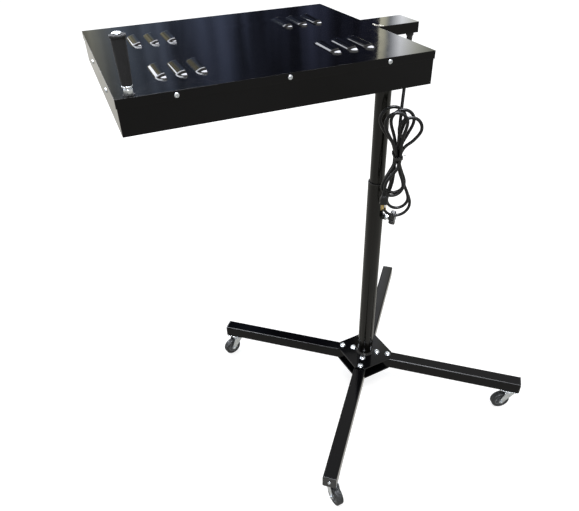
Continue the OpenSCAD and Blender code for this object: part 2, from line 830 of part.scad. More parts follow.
module handle_rod() {
    rod_top = head_top + handle_h;
    color("#dfe2e4") at_handle() {
        translate([0, 0, cover_under - rod_below])
            cylinder(d = rod_d, h = rod_top - cover_under + rod_below - over);
        translate([0, 0, rod_top - rod_cap_h]) cylinder(d = rod_cap_d, h = rod_cap_h);
    }
}

module handle_grip() {
    ring_z = head_top + handle_h - rod_cap_h - grip_ring_h;
    color("#131313") at_handle() difference() {
        union() {
            translate([0, 0, grip_z])
                cylinder(d1 = grip_d * grip_foot_share, d2 = grip_d, h = ring_z - grip_z);
            translate([0, 0, ring_z]) cylinder(d = grip_ring_d, h = grip_ring_h - seat);
            translate([0, 0, head_top]) cylinder(d = foot_d, h = foot_h);
        }
        translate([0, 0, head_top - over]) cylinder(r = rod_d / 2 + slip, h = handle_h);
    }
}

module handle_nuts() {
    nut_z = head_top + foot_h;
    color("#d9dcde") at_handle() difference() {
        union() {
            translate([0, 0, nut_z]) cylinder(d = rod_nut_d, h = rod_nut_h, $fn = 6);
            translate([0, 0, nut_z + rod_nut_h + rod_gap]) cylinder(d = rod_washer_d, h = rod_washer_h);
            translate([0, 0, cover_under - rod_nut_h]) cylinder(d = rod_nut_d, h = rod_nut_h, $fn = 6);
        }
        translate([0, 0, cover_under - rod_nut_h - over]) cylinder(r = rod_d / 2 + slip, h = handle_h);
    }
}

module switch_housing() {
    color("#181818") translate([neck_reach, switch_y, switch_z]) difference() {
        union() {
            rotate([90, 0, 90]) linear_extrude(bezel_t) rounded_rect(bezel_w, bezel_h, bezel_t);
            span([-switch_depth, -switch_body_w / 2, -switch_body_h / 2],
                 [over / 2, switch_body_w / 2, switch_body_h / 2]);
        }
        span([bezel_t - switch_slot_depth - bezel_t, -switch_slot_w / 2, -switch_slot_h / 2],
             [bezel_t + over, switch_slot_w / 2, switch_slot_h / 2]);
    }
}

module switch_rocker() {
    color("#8f1414") translate([neck_reach - rocker_pivot, switch_y, switch_z - rocker_w / 2])
        rotate([0, 0, -rocker_tilt]) linear_extrude(rocker_w) difference() {
            polygon([[-rocker_back, -rocker_half], [rocker_rise, -rocker_half], [rocker_dip, 0],
                     [rocker_rise, rocker_half], [-rocker_back, rocker_half]]);
            circle(d = rocker_bore);
        }
}

module cable_gland() {
    color("#151515") translate([gland_x, gland_y, neck_bottom]) {
        translate([0, 0, -gland_nut_h]) cylinder(d = gland_nut_d, h = gland_nut_h);
        translate([0, 0, -over]) cylinder(d = gland_body_d, h = neck_wall + gland_lock_h + over);
        translate([0, 0, neck_wall]) cylinder(d = gland_nut_d, h = gland_lock_h, $fn = 6);
        translate([0, 0, -gland_nut_h - relief_l])
            cylinder(d1 = relief_d1, d2 = relief_d0, h = relief_l + slip);
    }
}

// A tube of flat sides swept along points; ref is never parallel to the path
function unit(v) = v / norm(v);
function path_dir(p, i) = unit(p[min(i + 1, len(p) - 1)] - p[max(i - 1, 0)]);
function ring_at(p, i, ref, r, sides) =
    let (t = path_dir(p, i), n = unit(cross(t, ref)), b = cross(t, n))
    [for (k = [0:sides - 1]) p[i] + r * (cos(360 * k / sides) * n + sin(360 * k / sides) * b)];
module swept_tube(p, ref, r, sides) {
    last = len(p) - 1;
    points = [for (i = [0:last]) each ring_at(p, i, ref, r, sides)];
    walls = [for (i = [0:last - 1], k = [0:sides - 1])
        let (a = i * sides + k, b = i * sides + (k + 1) % sides)
        each [[a, a + sides, b], [b, a + sides, b + sides]]];
    caps = [for (k = [1:sides - 2]) each
        [[0, k, k + 1], [last * sides, last * sides + k + 1, last * sides + k]]];
    polyhedron(points, concat(walls, caps));
}

// The hank's path, in its own plane: x across, y away from the viewer, z up, the waist at the origin
hank_pitch = cord_d + hank_gap;
function bezier(a, b, c, d, t) =
    pow(1 - t, 3) * a + 3 * t * pow(1 - t, 2) * b + 3 * t * t * (1 - t) * c + pow(t, 3) * d;
// A fold below the waist: down the right strand, round the arc and up the left strand
function fold(mid, r) =
    let (start = [hank_column, 0],
         enter = mid + r * [cos(lobe_open), sin(lobe_open)],
         leave = mid + r * [-cos(lobe_open), sin(lobe_open)],
         out = [sin(lobe_open), -cos(lobe_open)],
         back = [sin(lobe_open), cos(lobe_open)],
         reach0 = reach_share * norm(enter - start), reach1 = reach_share * norm(leave + start))
    concat(
        [for (k = [1:run_steps])
            bezier(start, start - [0, reach0], enter - reach0 * out, enter, k / run_steps)],
        [for (k = [1:arc_steps - 1]) let (a = lobe_open - k * (180 + 2 * lobe_open) / arc_steps)
            mid + r * [cos(a), sin(a)]],
        [for (k = [0:run_steps - 1])
            bezier(leave, leave + reach1 * back, -start - [0, reach1], -start, k / run_steps)],
        [-start]);
function climb(z) = abs(z) >= climb_h ? 0 : hank_pitch / 2 * (1 - abs(z) / climb_h);
function layer(j) = (j - (len(lower_folds) - 1) / 2) * hank_pitch;
// Layers count from the post outwards; the strands of the right column climb from layer to layer
function low_fold(j) = let (f = fold([lower_folds[j][0], lower_folds[j][1]], lower_folds[j][2]))
    [for (i = [0:len(f) - 1]) let (q = f[i])
        [q[0], -layer(j) + (2 * i < len(f) ? climb(q[1]) : 0), q[1]]];
function high_fold(j) = let (f = fold(-[upper_folds[j][0], upper_folds[j][1]], upper_folds[j][2]))
    [for (i = [0:len(f) - 1]) let (q = f[i])
        [-q[0], -layer(j) - (2 * i < len(f) ? 0 : climb(q[1])), -q[1]]];
layers = len(lower_folds);
tail_y = -layer(layers - 1) - plug_out;
hank_start = [hank_column, -layer(-1), hank_rise];
function tail(k) = bezier(
    [hank_column, -layer(layers - 0.5), 0], [hank_column, -layer(layers), -plug_drop / 2],
    [plug_across, tail_y, -plug_drop / 2], [plug_across, tail_y, cord_d - plug_drop], k / (2 * run_steps));
hank_path = concat(
    [hank_start, [hank_column, -layer(-1), climb_h], [hank_column, -layer(-0.5), 0]],
    [for (j = [0:layers - 1]) each concat(low_fold(j), high_fold(j))],
    [for (k = [1:2 * run_steps]) tail(k)],
    [[plug_across, tail_y, -plug_drop]]);

module at_hank() {
    translate(hank_centre) rotate([0, 0, hank_turn]) children();
}
function from_hank(p) = hank_centre
    + [p[0] * cos(hank_turn) - p[1] * sin(hank_turn), p[0] * sin(hank_turn) + p[1] * cos(hank_turn), p[2]];

lead_path = concat([[gland_x, gland_y, neck_bottom - gland_nut_h - relief_l]], route,
    [from_hank(hank_start + [0, 0, 2 * cord_d]), from_hank(hank_start)]);
module power_lead() {
    color("#121212") swept_tube(lead_path, [cos(hank_turn), sin(hank_turn), 0], cord_d / 2, lead_sides);
}

// Least clear space between strands that are some way apart along the lead
function finer(p) =
    [for (i = [0:len(p) - 2], k = [0:check_steps - 1]) p[i] + (p[i + 1] - p[i]) * k / check_steps];
function least_gap(p, skip) =
    min([for (i = [0:len(p) - 1], j = [i + skip:1:len(p) - 1]) norm(p[i] - p[j])]) - cord_d;
function run_length(p) = [for (i = [1:len(p) - 1]) norm(p[i] - p[i - 1])] * [for (i = [1:len(p) - 1]) 1];
module lead_hank() {
    echo(hank_least_gap = least_gap(finer(hank_path), check_skip), hank_length = run_length(hank_path));
    color("#121212") at_hank() swept_tube(hank_path, [0, 1, 0], cord_d / 2, hank_sides);
}

module lead_tie() {
    inner_w = 2 * hank_column + cord_d + 2 * tie_gap;
    inner_d = layers * hank_pitch + cord_d + 2 * tie_gap;
    color("#0f0f0f") at_hank() translate([0, 0, -tie_w / 2]) linear_extrude(tie_w) difference() {
        rounded_rect(inner_w + 2 * tie_t, inner_d + 2 * tie_t, cord_d / 2 + tie_t);
        rounded_rect(inner_w, inner_d, cord_d / 2);
    }
}

module at_plug() {
    at_hank() translate([plug_across, tail_y, -plug_drop]) children();
}

module plug_body() {
    color("#141414") at_plug() intersection() {
        rotate([180, 0, 0]) {
            cylinder(d1 = plug_top_d, d2 = plug_d, h = plug_neck_l);
            translate([0, 0, plug_neck_l - slip]) cylinder(d = plug_d, h = plug_l - plug_neck_l + slip);
        }
        span([-plug_d, -plug_flat / 2, -plug_l - over], [plug_d, plug_flat / 2, over]);
    }
}

module plug_pins() {
    color("#c9a04c") at_plug() {
        for (x = [-1, 1] * pin_spacing / 2)
            span([x - pin_t / 2, -pin_w / 2 - earth_offset / 2, -plug_l - pin_l],
                 [x + pin_t / 2, pin_w / 2 - earth_offset / 2, -plug_l]);
        translate([0, earth_offset, -plug_l - earth_l]) cylinder(d = earth_d, h = earth_l);
    }
}

hub_plate_top();
hub_plate_bottom();
leg(0);  // leg_left
leg(1);  // leg_front
leg(2);  // leg_right
leg(3);  // leg_rear
leg_end_caps();
end_cap_screws();
hub_bolts();
outer_post();
guide_sleeve();
clamp_nut();
caster_plates();
caster_kingpins();
for (k = [0:3]) {
    caster_fork(k);
    wheel_axle(k);
    wheel_core(k);
    wheel_tyre(k);
}
clamp_washer();
clamp_stud();
star_knob();
inner_post();
post_cap();
thrust_disc();
housing_pan();
top_cover();
housing_screws();
neck_channel();
neck_bolts();
swivel_socket();
insulation_board();
reflector();
heater_tubes();
heater_end_caps();
tube_brackets();
guard_grille();
terminal_block();
handle_rod();
handle_grip();
handle_nuts();
switch_housing();
switch_rocker();
cable_gland();
power_lead();
lead_hank();
lead_tie();
plug_body();
plug_pins();
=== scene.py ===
import json
import math
import bmesh
import bpy
from mathutils import Matrix, Vector


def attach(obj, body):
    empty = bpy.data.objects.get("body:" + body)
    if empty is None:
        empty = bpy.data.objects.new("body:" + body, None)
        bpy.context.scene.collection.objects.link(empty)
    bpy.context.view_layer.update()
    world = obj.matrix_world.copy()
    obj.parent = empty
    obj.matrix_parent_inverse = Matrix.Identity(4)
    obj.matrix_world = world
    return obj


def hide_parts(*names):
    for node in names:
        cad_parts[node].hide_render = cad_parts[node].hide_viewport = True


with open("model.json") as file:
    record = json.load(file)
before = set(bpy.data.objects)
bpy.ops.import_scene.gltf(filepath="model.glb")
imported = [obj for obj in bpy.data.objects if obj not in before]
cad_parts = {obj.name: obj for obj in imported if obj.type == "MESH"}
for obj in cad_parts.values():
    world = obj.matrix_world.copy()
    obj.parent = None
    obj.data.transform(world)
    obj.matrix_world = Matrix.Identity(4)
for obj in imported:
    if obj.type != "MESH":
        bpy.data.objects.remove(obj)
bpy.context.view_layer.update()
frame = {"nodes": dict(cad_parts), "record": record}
bodyOfNode = {node: body for body, names in frame["record"]["behaviour"]["bodies"].items() for node in names}
mm = 0.001
fullTurn = 2 * math.pi
upAxis = Vector((0, 0, 1))
legNames = ("left", "front", "right", "rear")
print("frame loaded:", len(frame["nodes"]), "nodes")


def fromHex(text):
    # sRGB hex to linear colour
    values = [int(text[i:i + 2], 16) / 255 for i in (1, 3, 5)]
    return (*[v / 12.92 if v <= 0.04045 else ((v + 0.055) / 1.055) ** 2.4 for v in values], 1.0)


def addNode(tree, kind, inputs=None, **settings):
    node = tree.nodes.new(kind)
    for key, value in settings.items():
        setattr(node, key, value)
    for key, value in (inputs or {}).items():
        if isinstance(value, bpy.types.NodeSocket):
            tree.links.new(value, node.inputs[key])
        else:
            node.inputs[key].default_value = value
    return node


def addObject(name, data):
    made = bpy.data.objects.new(name, data)
    bpy.context.scene.collection.objects.link(made)
    return made


def place(x=0, y=0, z=0, turn=0, tilt=0):
    # turn is about Z and tilt about the turned Y, both in degrees
    return (Matrix.Translation((x, y, z)) @ Matrix.Rotation(math.radians(turn), 4, "Z")
            @ Matrix.Rotation(math.radians(tilt), 4, "Y"))


def circle(radius, count, start=0.0):
    angles = [fullTurn * k / count + start for k in range(count)]
    return [(radius * math.cos(a), radius * math.sin(a)) for a in angles]


def polygonRing(sides, acrossFlats, turn=0):
    return circle(acrossFlats / 2 / math.cos(math.pi / sides), sides, turn)


def wavyRing(sides, mean, swing, waves, share, z):
    # a ring whose radius swings round its mean, all of it times share
    ring = []
    for k in range(sides):
        angle = fullTurn * k / sides
        radius = (mean + swing * math.cos(waves * angle)) * share
        ring.append((radius * math.cos(angle), radius * math.sin(angle), z))
    return ring


def shifted(profile, r, z):
    return [(a + r, b + z) for a, b in profile]


def bridge(bm, rings):
    # quads from each ring to the next, all of equal length
    for low, high in zip(rings, rings[1:]):
        for k in range(len(low)):
            n = (k + 1) % len(low)
            bm.faces.new((low[k], low[n], high[n], high[k]))


def addLathe(bm, profile, where, segments=40, closed=False):
    # profile: (radius, height) turned about Z; closed joins its end to its start
    rings = []
    for radius, z in profile:
        spots = circle(radius, segments) if radius else [(0, 0)]
        rings.append([bm.verts.new(where @ Vector((x, y, z))) for x, y in spots])
    pairs = list(zip(rings, rings[1:])) + ([(rings[-1], rings[0])] if closed else [])
    for low, high in pairs:
        for k in range(segments):
            n = (k + 1) % segments
            corners = [low[k % len(low)], low[n % len(low)], high[n % len(high)], high[k % len(high)]]
            corners = [c for i, c in enumerate(corners) if c not in corners[:i]]
            if len(corners) > 2:
                bm.faces.new(corners)


def addPrism(bm, outline, depth, where):
    low, high = ([bm.verts.new(where @ Vector((x, y, z))) for x, y in outline] for z in (0, depth))
    bm.faces.new(low[::-1])
    bm.faces.new(high)
    bridge(bm, [low, high])


def addLoft(bm, rings, where):
    # rings of equal length, closed at both ends
    made = [[bm.verts.new(where @ Vector(p)) for p in ring] for ring in rings]
    bridge(bm, made)
    bm.faces.new(made[0][::-1])
    bm.faces.new(made[-1])


def addHexagon(bm, acrossFlats, stages, where, turn=0, lift=0):
    # stages: (height, radius that the corners are cut back to)
    corners = polygonRing(6, acrossFlats, turn)
    dense = [(a[0] + (b[0] - a[0]) * t / 4, a[1] + (b[1] - a[1]) * t / 4)
             for a, b in zip(corners, corners[1:] + corners[:1]) for t in range(4)]
    rings = []
    for z, limit in stages:
        keeps = [min(1, limit / math.hypot(x, y)) for x, y in dense]
        rings.append([(x * keep, y * keep, z + lift) for (x, y), keep in zip(dense, keeps)])
    addLoft(bm, rings, where)


def addWire(bm, points, radius, where, sides=8):
    # a round wire along points, closed at both ends
    rings = []
    for index, point in enumerate(points):
        ahead = Vector(points[min(index + 1, len(points) - 1)]) - Vector(points[max(index - 1, 0)])
        turnTo = ahead.to_track_quat("Z", "Y")
        rings.append([Vector(point) + turnTo @ Vector((x, y, 0)) for x, y in circle(radius, sides)])
    addLoft(bm, rings, where)


def closeMesh(bm, name):
    bmesh.ops.recalc_face_normals(bm, faces=bm.faces)
    for vertex in bm.verts:
        vertex.co *= mm
    mesh = bpy.data.meshes.new(name)
    bm.to_mesh(mesh)
    bm.free()
    return mesh


def shadeSmooth(mesh, sharp):
    mesh.polygons.foreach_set("use_smooth", [True] * len(mesh.polygons))
    mesh.set_sharp_from_angle(angle=math.radians(sharp))


def registerPiece(mesh, name, material, body, stands=(), bevel=0.0):
    piece = addObject(name, mesh)
    if material is not None:
        mesh.materials.clear()
        mesh.materials.append(material)
    if bevel:
        edge = piece.modifiers.new("edge", "BEVEL")
        edge.width, edge.segments, edge.limit_method = bevel * mm, 2, "ANGLE"
        edge.angle_limit = math.radians(40)
    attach(piece, body)
    if stands:
        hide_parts(*stands)
    return piece


def finishPiece(bm, name, material, body, stands=(), sharp=35, bevel=0.0):
    mesh = closeMesh(bm, name)
    shadeSmooth(mesh, sharp)
    return registerPiece(mesh, name, material, body, stands, bevel)


# the camera, solved from the photograph's corners
view = {"focalPixels": 549.11, "frameWidth": 579, "place": (-752.8, -1201.7, 1523.0), "azimuth": 21.683,
        "elevation": 35.105, "roll": 1.8687, "sensor": 36, "clip": (0.01, 60)}
azimuth, elevation, roll = (math.radians(view[k]) for k in ("azimuth", "elevation", "roll"))
forward = Vector((math.sin(azimuth) * math.cos(elevation), math.cos(azimuth) * math.cos(elevation),
                  -math.sin(elevation)))
right = forward.cross(upAxis).normalized()
down = forward.cross(right).normalized()
rolledRight = right * math.cos(roll) + down * math.sin(roll)
rolledDown = down * math.cos(roll) - right * math.sin(roll)
camera = addObject("camera", bpy.data.cameras.new("camera"))
axes = Matrix((rolledRight, -rolledDown, -forward)).transposed().to_4x4()
camera.matrix_world = Matrix.Translation(Vector(view["place"]) * mm) @ axes
camera.data.sensor_fit = "HORIZONTAL"
camera.data.sensor_width = view["sensor"]
camera.data.lens = view["sensor"] * view["focalPixels"] / view["frameWidth"]
camera.data.clip_start, camera.data.clip_end = view["clip"]
bpy.context.scene.camera = camera
print("camera set")

# the mains lead: free drop from the gland, hank and tail; each fold is (x, z, radius) in the hank's frame
lead = {
    "diameter": 8.5, "pointRadius": 0.01, "exit": (44, -29, 1160),
    "route": [(44, -29, 1148), (43.5, -30, 1130), (41.5, -32.5, 1110), (38, -36.5, 1092), (34, -42, 1074),
              (30, -47, 1058), (25.5, -52.5, 1040), (21.5, -57.5, 1022), (18.5, -61.5, 1004), (17, -63, 986)],
    "centre": (4.6, -82.5, 904), "turn": -22, "pitch": 9.0, "column": 4.7, "rise": 50, "climb": 40,
    "open": 18, "reachShare": 0.4,
    "lower": [(13, -154, 37), (12, -132, 29), (-3, -79, 28), (-8, -84, 28)],
    "upper": [(-17, 94, 32), (6, 92, 29), (26, 74, 29), (-12, 92, 28)],
    "plugAcross": -31, "plugDrop": 88, "plugOut": 14.5, "runSteps": 3, "arcSteps": 6,
}
hankPlace = place(*lead["centre"], turn=lead["turn"])
layerCount = len(lead["lower"])


def bezierPoint(a, b, c, d, t):
    return tuple((1 - t) ** 3 * p + 3 * t * (1 - t) ** 2 * q + 3 * t * t * (1 - t) * r + t ** 3 * s
                 for p, q, r, s in zip(a, b, c, d))


def foldPoints(middle, radius):
    # down the right strand, round the arc and up the left strand
    width, spread, steps = lead["column"], math.radians(lead["open"]), lead["runSteps"]
    enter = (middle[0] + radius * math.cos(spread), middle[1] + radius * math.sin(spread))
    leave = (middle[0] - radius * math.cos(spread), enter[1])
    reachIn = lead["reachShare"] * math.dist(enter, (width, 0))
    reachOut = lead["reachShare"] * math.dist(leave, (-width, 0))
    out = (math.sin(spread), math.cos(spread))
    points = [bezierPoint((width, 0), (width, -reachIn),
                          (enter[0] - reachIn * out[0], enter[1] + reachIn * out[1]), enter, k / steps)
              for k in range(1, steps + 1)]
    sweep = math.pi + 2 * spread
    for k in range(1, lead["arcSteps"]):
        angle = spread - k * sweep / lead["arcSteps"]
        points.append((middle[0] + radius * math.cos(angle), middle[1] + radius * math.sin(angle)))
    points += [bezierPoint(leave, (leave[0] + reachOut * out[0], leave[1] + reachOut * out[1]),
                           (-width, -reachOut), (-width, 0), k / steps) for k in range(steps)]
    return points + [(-width, 0)]


def layerAt(index):
    return (index - (layerCount - 1) / 2) * lead["pitch"]


def climbAt(z):
    return max(0.0, lead["pitch"] / 2 * (1 - abs(z) / lead["climb"]))


def hankPoints():
    width, drop, across = lead["column"], lead["plugDrop"], lead["plugAcross"]
    points = [(width, -layerAt(-1), lead["rise"]), (width, -layerAt(-1), lead["climb"]),
              (width, -layerAt(-0.5), 0)]
    for j in range(layerCount):
        low = foldPoints(lead["lower"][j][:2], lead["lower"][j][2])
        half = len(low) / 2
        points += [(x, -layerAt(j) + (climbAt(z) if i < half else 0), z) for i, (x, z) in enumerate(low)]
        high = foldPoints((-lead["upper"][j][0], -lead["upper"][j][1]), lead["upper"][j][2])
        points += [(-x, -layerAt(j) - (0 if i < half else climbAt(z)), -z) for i, (x, z) in enumerate(high)]
    tailY = -layerAt(layerCount - 1) - lead["plugOut"]
    steps = 2 * lead["runSteps"]
    points += [bezierPoint((width, -layerAt(layerCount - 0.5), 0), (width, -layerAt(layerCount), -drop / 2),
                           (across, tailY, -drop / 2), (across, tailY, lead["diameter"] - drop), k / steps)
               for k in range(1, steps + 1)]
    return points + [(across, tailY, -drop)], tailY


def smoothed(points, steps=4):
    # a smooth curve through the points, with tangents weighted by their distances
    result = []
    padded = [points[0] * 2 - points[1], *points, points[-1] * 2 - points[-2]]
    for a, b, c, d in zip(padded, padded[1:], padded[2:], padded[3:]):
        span = (c - b).length
        tangentB = (c - a) * span / ((b - a).length + span)
        tangentC = (d - b) * span / ((d - c).length + span)
        for k in range(steps):
            t = k / steps
            result.append(b * (2 * t ** 3 - 3 * t ** 2 + 1) + tangentB * (t ** 3 - 2 * t ** 2 + t)
                          + c * (3 * t ** 2 - 2 * t ** 3) + tangentC * (t ** 3 - t ** 2))
    return result + [points[-1]]


hankOwn, tailY = hankPoints()
hankWorld = [hankPlace @ Vector(p) for p in hankOwn]
leadPoints = [Vector(lead["exit"])] + [Vector(p) for p in lead["route"]]
leadPoints += [hankWorld[0] + upAxis * 2 * lead["diameter"]] + hankWorld
leadLine = [p * mm for p in smoothed(leadPoints)]
leadCurve = bpy.data.curves.new("mainsLead", "CURVE")
leadCurve.dimensions = "3D"
# a small point radius keeps the curve's own box tight; depth times radius is half the thickness
leadCurve.bevel_depth = lead["diameter"] / 2 * mm / lead["pointRadius"]
leadCurve.bevel_resolution = 4
leadCurve.use_fill_caps = True
spline = leadCurve.splines.new("POLY")
spline.points.add(len(leadLine) - 1)
for point, co in zip(spline.points, leadLine):
    point.co = (*co, 1)
    point.radius = lead["pointRadius"]
spline.use_smooth = True
leadPiece = addObject("mainsLead", leadCurve)
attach(leadPiece, "head")
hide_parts("power_lead", "lead_hank")


def startMaterial(name):
    material = bpy.data.materials.new(name)
    material.use_nodes = True
    tree = material.node_tree
    tree.nodes.clear()
    return material, tree, addNode(tree, "ShaderNodeTexCoord").outputs["Object"]


def endMaterial(material, tree, surface):
    addNode(tree, "ShaderNodeOutputMaterial", {"Surface": surface})
    return material


def perMetre(size):
    # repeats in a metre of a pattern whose real size is given in mm
    return 1 / (size * mm)


def mottledSkin(name, look, layUnder=None):
    # a soft mottle shifts colour and gloss a little, and a finer grain lifts the surface
    material, tree, coords = startMaterial(name)
    mottle = addNode(tree, "ShaderNodeTexNoise", {
        "Vector": coords, "Scale": perMetre(look["mottle"]), "Detail": look["mottleDetail"],
        "Roughness": look["mottleBreak"]})
    grain = addNode(tree, "ShaderNodeTexNoise", {
        "Vector": coords, "Scale": perMetre(look["grain"]), "Detail": look["grainDetail"]})
    tone = addNode(tree, "ShaderNodeMix", {
        0: mottle.outputs["Fac"], 6: fromHex(look["low"]), 7: fromHex(look["high"])}, data_type="RGBA")
    gloss = addNode(tree, "ShaderNodeMapRange", {
        "Value": mottle.outputs["Fac"],
        "From Min": look["mottleRange"][0], "From Max": look["mottleRange"][1],
        "To Min": look["roughness"][0], "To Max": look["roughness"][1]})
    bump = addNode(tree, "ShaderNodeBump", {
        "Height": grain.outputs["Fac"], "Strength": look["strength"], "Distance": look["lift"] * mm})
    if layUnder:
        tree.links.new(layUnder(tree, coords), bump.inputs["Normal"])
    skin = addNode(tree, "ShaderNodeBsdfPrincipled", {
        "Base Color": tone.outputs[2], "Roughness": gloss.outputs["Result"], "Normal": bump.outputs["Normal"],
        **look["more"]})
    return endMaterial(material, tree, skin.outputs["BSDF"])


def sheetWaves(tree, coords):
    # pressed sheet is never quite flat: slow waves, and every folded edge is a small round
    sheet = {"wave": 142.9, "lift": 0.9, "edge": 0.9}
    rounded = addNode(tree, "ShaderNodeBevel", {"Radius": sheet["edge"] * mm}, samples=4)
    waves = addNode(tree, "ShaderNodeTexNoise", {
        "Vector": coords, "Scale": perMetre(sheet["wave"]), "Detail": 1.0, "Roughness": 0.4})
    slow = addNode(tree, "ShaderNodeBump", {
        "Height": waves.outputs["Fac"], "Strength": 0.5, "Distance": sheet["lift"] * mm,
        "Normal": rounded.outputs["Normal"]})
    return slow.outputs["Normal"]


def glossEnamel():
    # Stove-enamelled steel sheet, sprayed and baked: deep black and mirror-like, with a faint orange peel of
    # 3 mm and slow waves
    return mottledSkin("glossBlackStoveEnamel", {
        "low": "#040405", "high": "#08080a", "mottle": 41.67, "mottleDetail": 5.0, "mottleBreak": 0.65,
        "mottleRange": (0.35, 0.75), "roughness": (0.05, 0.11), "grain": 3.125, "grainDetail": 2.0,
        "strength": 0.4, "lift": 0.012, "more": {"Specular IOR Level": 0.16}}, sheetWaves)


def satinEnamel():
    # Sprayed enamel on tube: semi-gloss brown-black, orange peel of 4 mm, softer highlights than the sheet
    return mottledSkin("semiGlossTubeEnamel", {
        "low": "#060605", "high": "#0e0d0a", "mottle": 55.56, "mottleDetail": 4.0, "mottleBreak": 0.6,
        "mottleRange": (0.3, 0.7), "roughness": (0.13, 0.22), "grain": 3.846, "grainDetail": 3.0,
        "strength": 0.4, "lift": 0.02, "more": {"Specular IOR Level": 0.3}})


def zincPlate():
    # Bright zinc plate on pressed steel: cool silver, slightly cloudy; the real grain is too fine to show
    # and is drawn about 1 mm wide
    return mottledSkin("brightZincPlate", {
        "low": "#a4a9ae", "high": "#dfe3e6", "mottle": 11.11, "mottleDetail": 3.0, "mottleBreak": 0.6,
        "mottleRange": (0.3, 0.7), "roughness": (0.2, 0.34), "grain": 1.111, "grainDetail": 2.0,
        "strength": 0.3, "lift": 0.02, "more": {"Metallic": 1.0}})


def moulded(name, low, high, roughness, grain=1.4286, lift=0.03, level=0.5, sheen=0.0):
    # Moulded plastic and rubber, turned nylon, fired steatite and pressed fibre board: an even colour, a fine
    # grain and small changes of gloss; the real grain is too fine to show and is drawn 1 to 3 mm wide
    return mottledSkin(name, {
        "low": low, "high": high, "mottle": 22.22, "mottleDetail": 4.0, "mottleBreak": 0.6,
        "mottleRange": (0.3, 0.7), "roughness": (roughness * 0.85, roughness * 1.15), "grain": grain,
        "grainDetail": 2.0, "strength": 0.5, "lift": lift,
        "more": {"Specular IOR Level": level, "Sheen Weight": sheen}})


def foamRubber():
    # Closed-cell foam rubber: matt black, small open cells cut on the skin
    look = {"low": "#09090a", "high": "#141416", "mottle": 6.25, "cell": 1.111, "lift": 0.2, "roughness": 0.8}
    material, tree, coords = startMaterial("closedCellFoam")
    mottle = addNode(tree, "ShaderNodeTexNoise", {
        "Vector": coords, "Scale": perMetre(look["mottle"]), "Detail": 4.0})
    cells = addNode(tree, "ShaderNodeTexVoronoi", {"Vector": coords, "Scale": perMetre(look["cell"])})
    tone = addNode(tree, "ShaderNodeMix", {
        0: mottle.outputs["Fac"], 6: fromHex(look["low"]), 7: fromHex(look["high"])}, data_type="RGBA")
    bump = addNode(tree, "ShaderNodeBump", {
        "Height": cells.outputs["Distance"], "Strength": 0.6, "Distance": look["lift"] * mm})
    skin = addNode(tree, "ShaderNodeBsdfPrincipled", {
        "Base Color": tone.outputs[2], "Specular IOR Level": 0.3, "Roughness": look["roughness"],
        "Normal": bump.outputs["Normal"]})
    return endMaterial(material, tree, skin.outputs["BSDF"])


def rolledMetal(name, low, high, roughness):
    # Rolled sheet and drawn wire: long lines along X; the real ones are too fine to show and are drawn
    # 2 mm apart
    line = {"along": 166.67, "across": 2.0, "lift": 0.03}
    material, tree, coords = startMaterial(name)
    laid = addNode(tree, "ShaderNodeMapping", {
        "Vector": coords, "Scale": [perMetre(line[key]) for key in ("along", "across", "across")]})
    lines = addNode(tree, "ShaderNodeTexNoise", {
        "Vector": laid.outputs["Vector"], "Scale": 1.0, "Detail": 3.0})
    tone = addNode(tree, "ShaderNodeMix", {
        0: lines.outputs["Fac"], 6: fromHex(low), 7: fromHex(high)}, data_type="RGBA")
    gloss = addNode(tree, "ShaderNodeMapRange", {
        "Value": lines.outputs["Fac"], "To Min": roughness * 0.8, "To Max": roughness * 1.2})
    bump = addNode(tree, "ShaderNodeBump", {
        "Height": lines.outputs["Fac"], "Strength": 0.3, "Distance": line["lift"] * mm})
    skin = addNode(tree, "ShaderNodeBsdfPrincipled", {
        "Base Color": tone.outputs[2], "Metallic": 1.0, "Roughness": gloss.outputs["Result"],
        "Normal": bump.outputs["Normal"]})
    return endMaterial(material, tree, skin.outputs["BSDF"])


def milkyQuartz():
    # Fused quartz tube, sand-blasted: milky, half see-through, smooth gloss
    look = {"low": "#d8d4cb", "high": "#f1eee8", "mottle": 16.667, "roughness": 0.28, "index": 1.46,
            "clear": 0.7}
    material, tree, coords = startMaterial("milkyQuartz")
    mottle = addNode(tree, "ShaderNodeTexNoise", {
        "Vector": coords, "Scale": perMetre(look["mottle"]), "Detail": 3.0})
    tone = addNode(tree, "ShaderNodeMix", {
        0: mottle.outputs["Fac"], 6: fromHex(look["low"]), 7: fromHex(look["high"])}, data_type="RGBA")
    skin = addNode(tree, "ShaderNodeBsdfPrincipled", {
        "Base Color": tone.outputs[2], "Roughness": look["roughness"], "IOR": look["index"],
        "Transmission Weight": look["clear"]})
    return endMaterial(material, tree, skin.outputs["BSDF"])


gloss = glossEnamel()
satin = satinEnamel()
zinc = zincPlate()
blackPolymer = moulded("mouldedBlackPolyamide", "#101011", "#1c1c1d", 0.42)
greyPolymer = moulded("mouldedGreyPolypropylene", "#56585a", "#6e7072", 0.5)
facePolymer = moulded("printedGreyKnobFace", "#8d9092", "#a9acae", 0.45)
whiteNylon = moulded("turnedNylon", "#dedbd0", "#efece3", 0.5)
tyreRubber = moulded("greyThermoplasticRubber", "#1c1e1f", "#2c2e30", 0.55, 0.8333, 0.08, 0.35)
cordVinyl = moulded("extrudedVinylSheath", "#060709", "#0c0d10", 0.34, 2.0, 0.02, 0.3)
plugVinyl = moulded("mouldedVinylPlug", "#08090a", "#101114", 0.38, 1.25, 0.04, 0.35)
redPolymer = moulded("mouldedRedPolycarbonate", "#8a1010", "#a81414", 0.22, 2.0, 0.01, 0.5)
ceramic = moulded("firedSteatite", "#e4dfd2", "#f3f0e6", 0.55, 2.0, 0.04, 0.5)
fibreBoard = moulded("ceramicFibreBoard", "#d9d2c0", "#efe9da", 0.9, 2.857, 0.4, 0.3, 0.2)
foam = foamRubber()
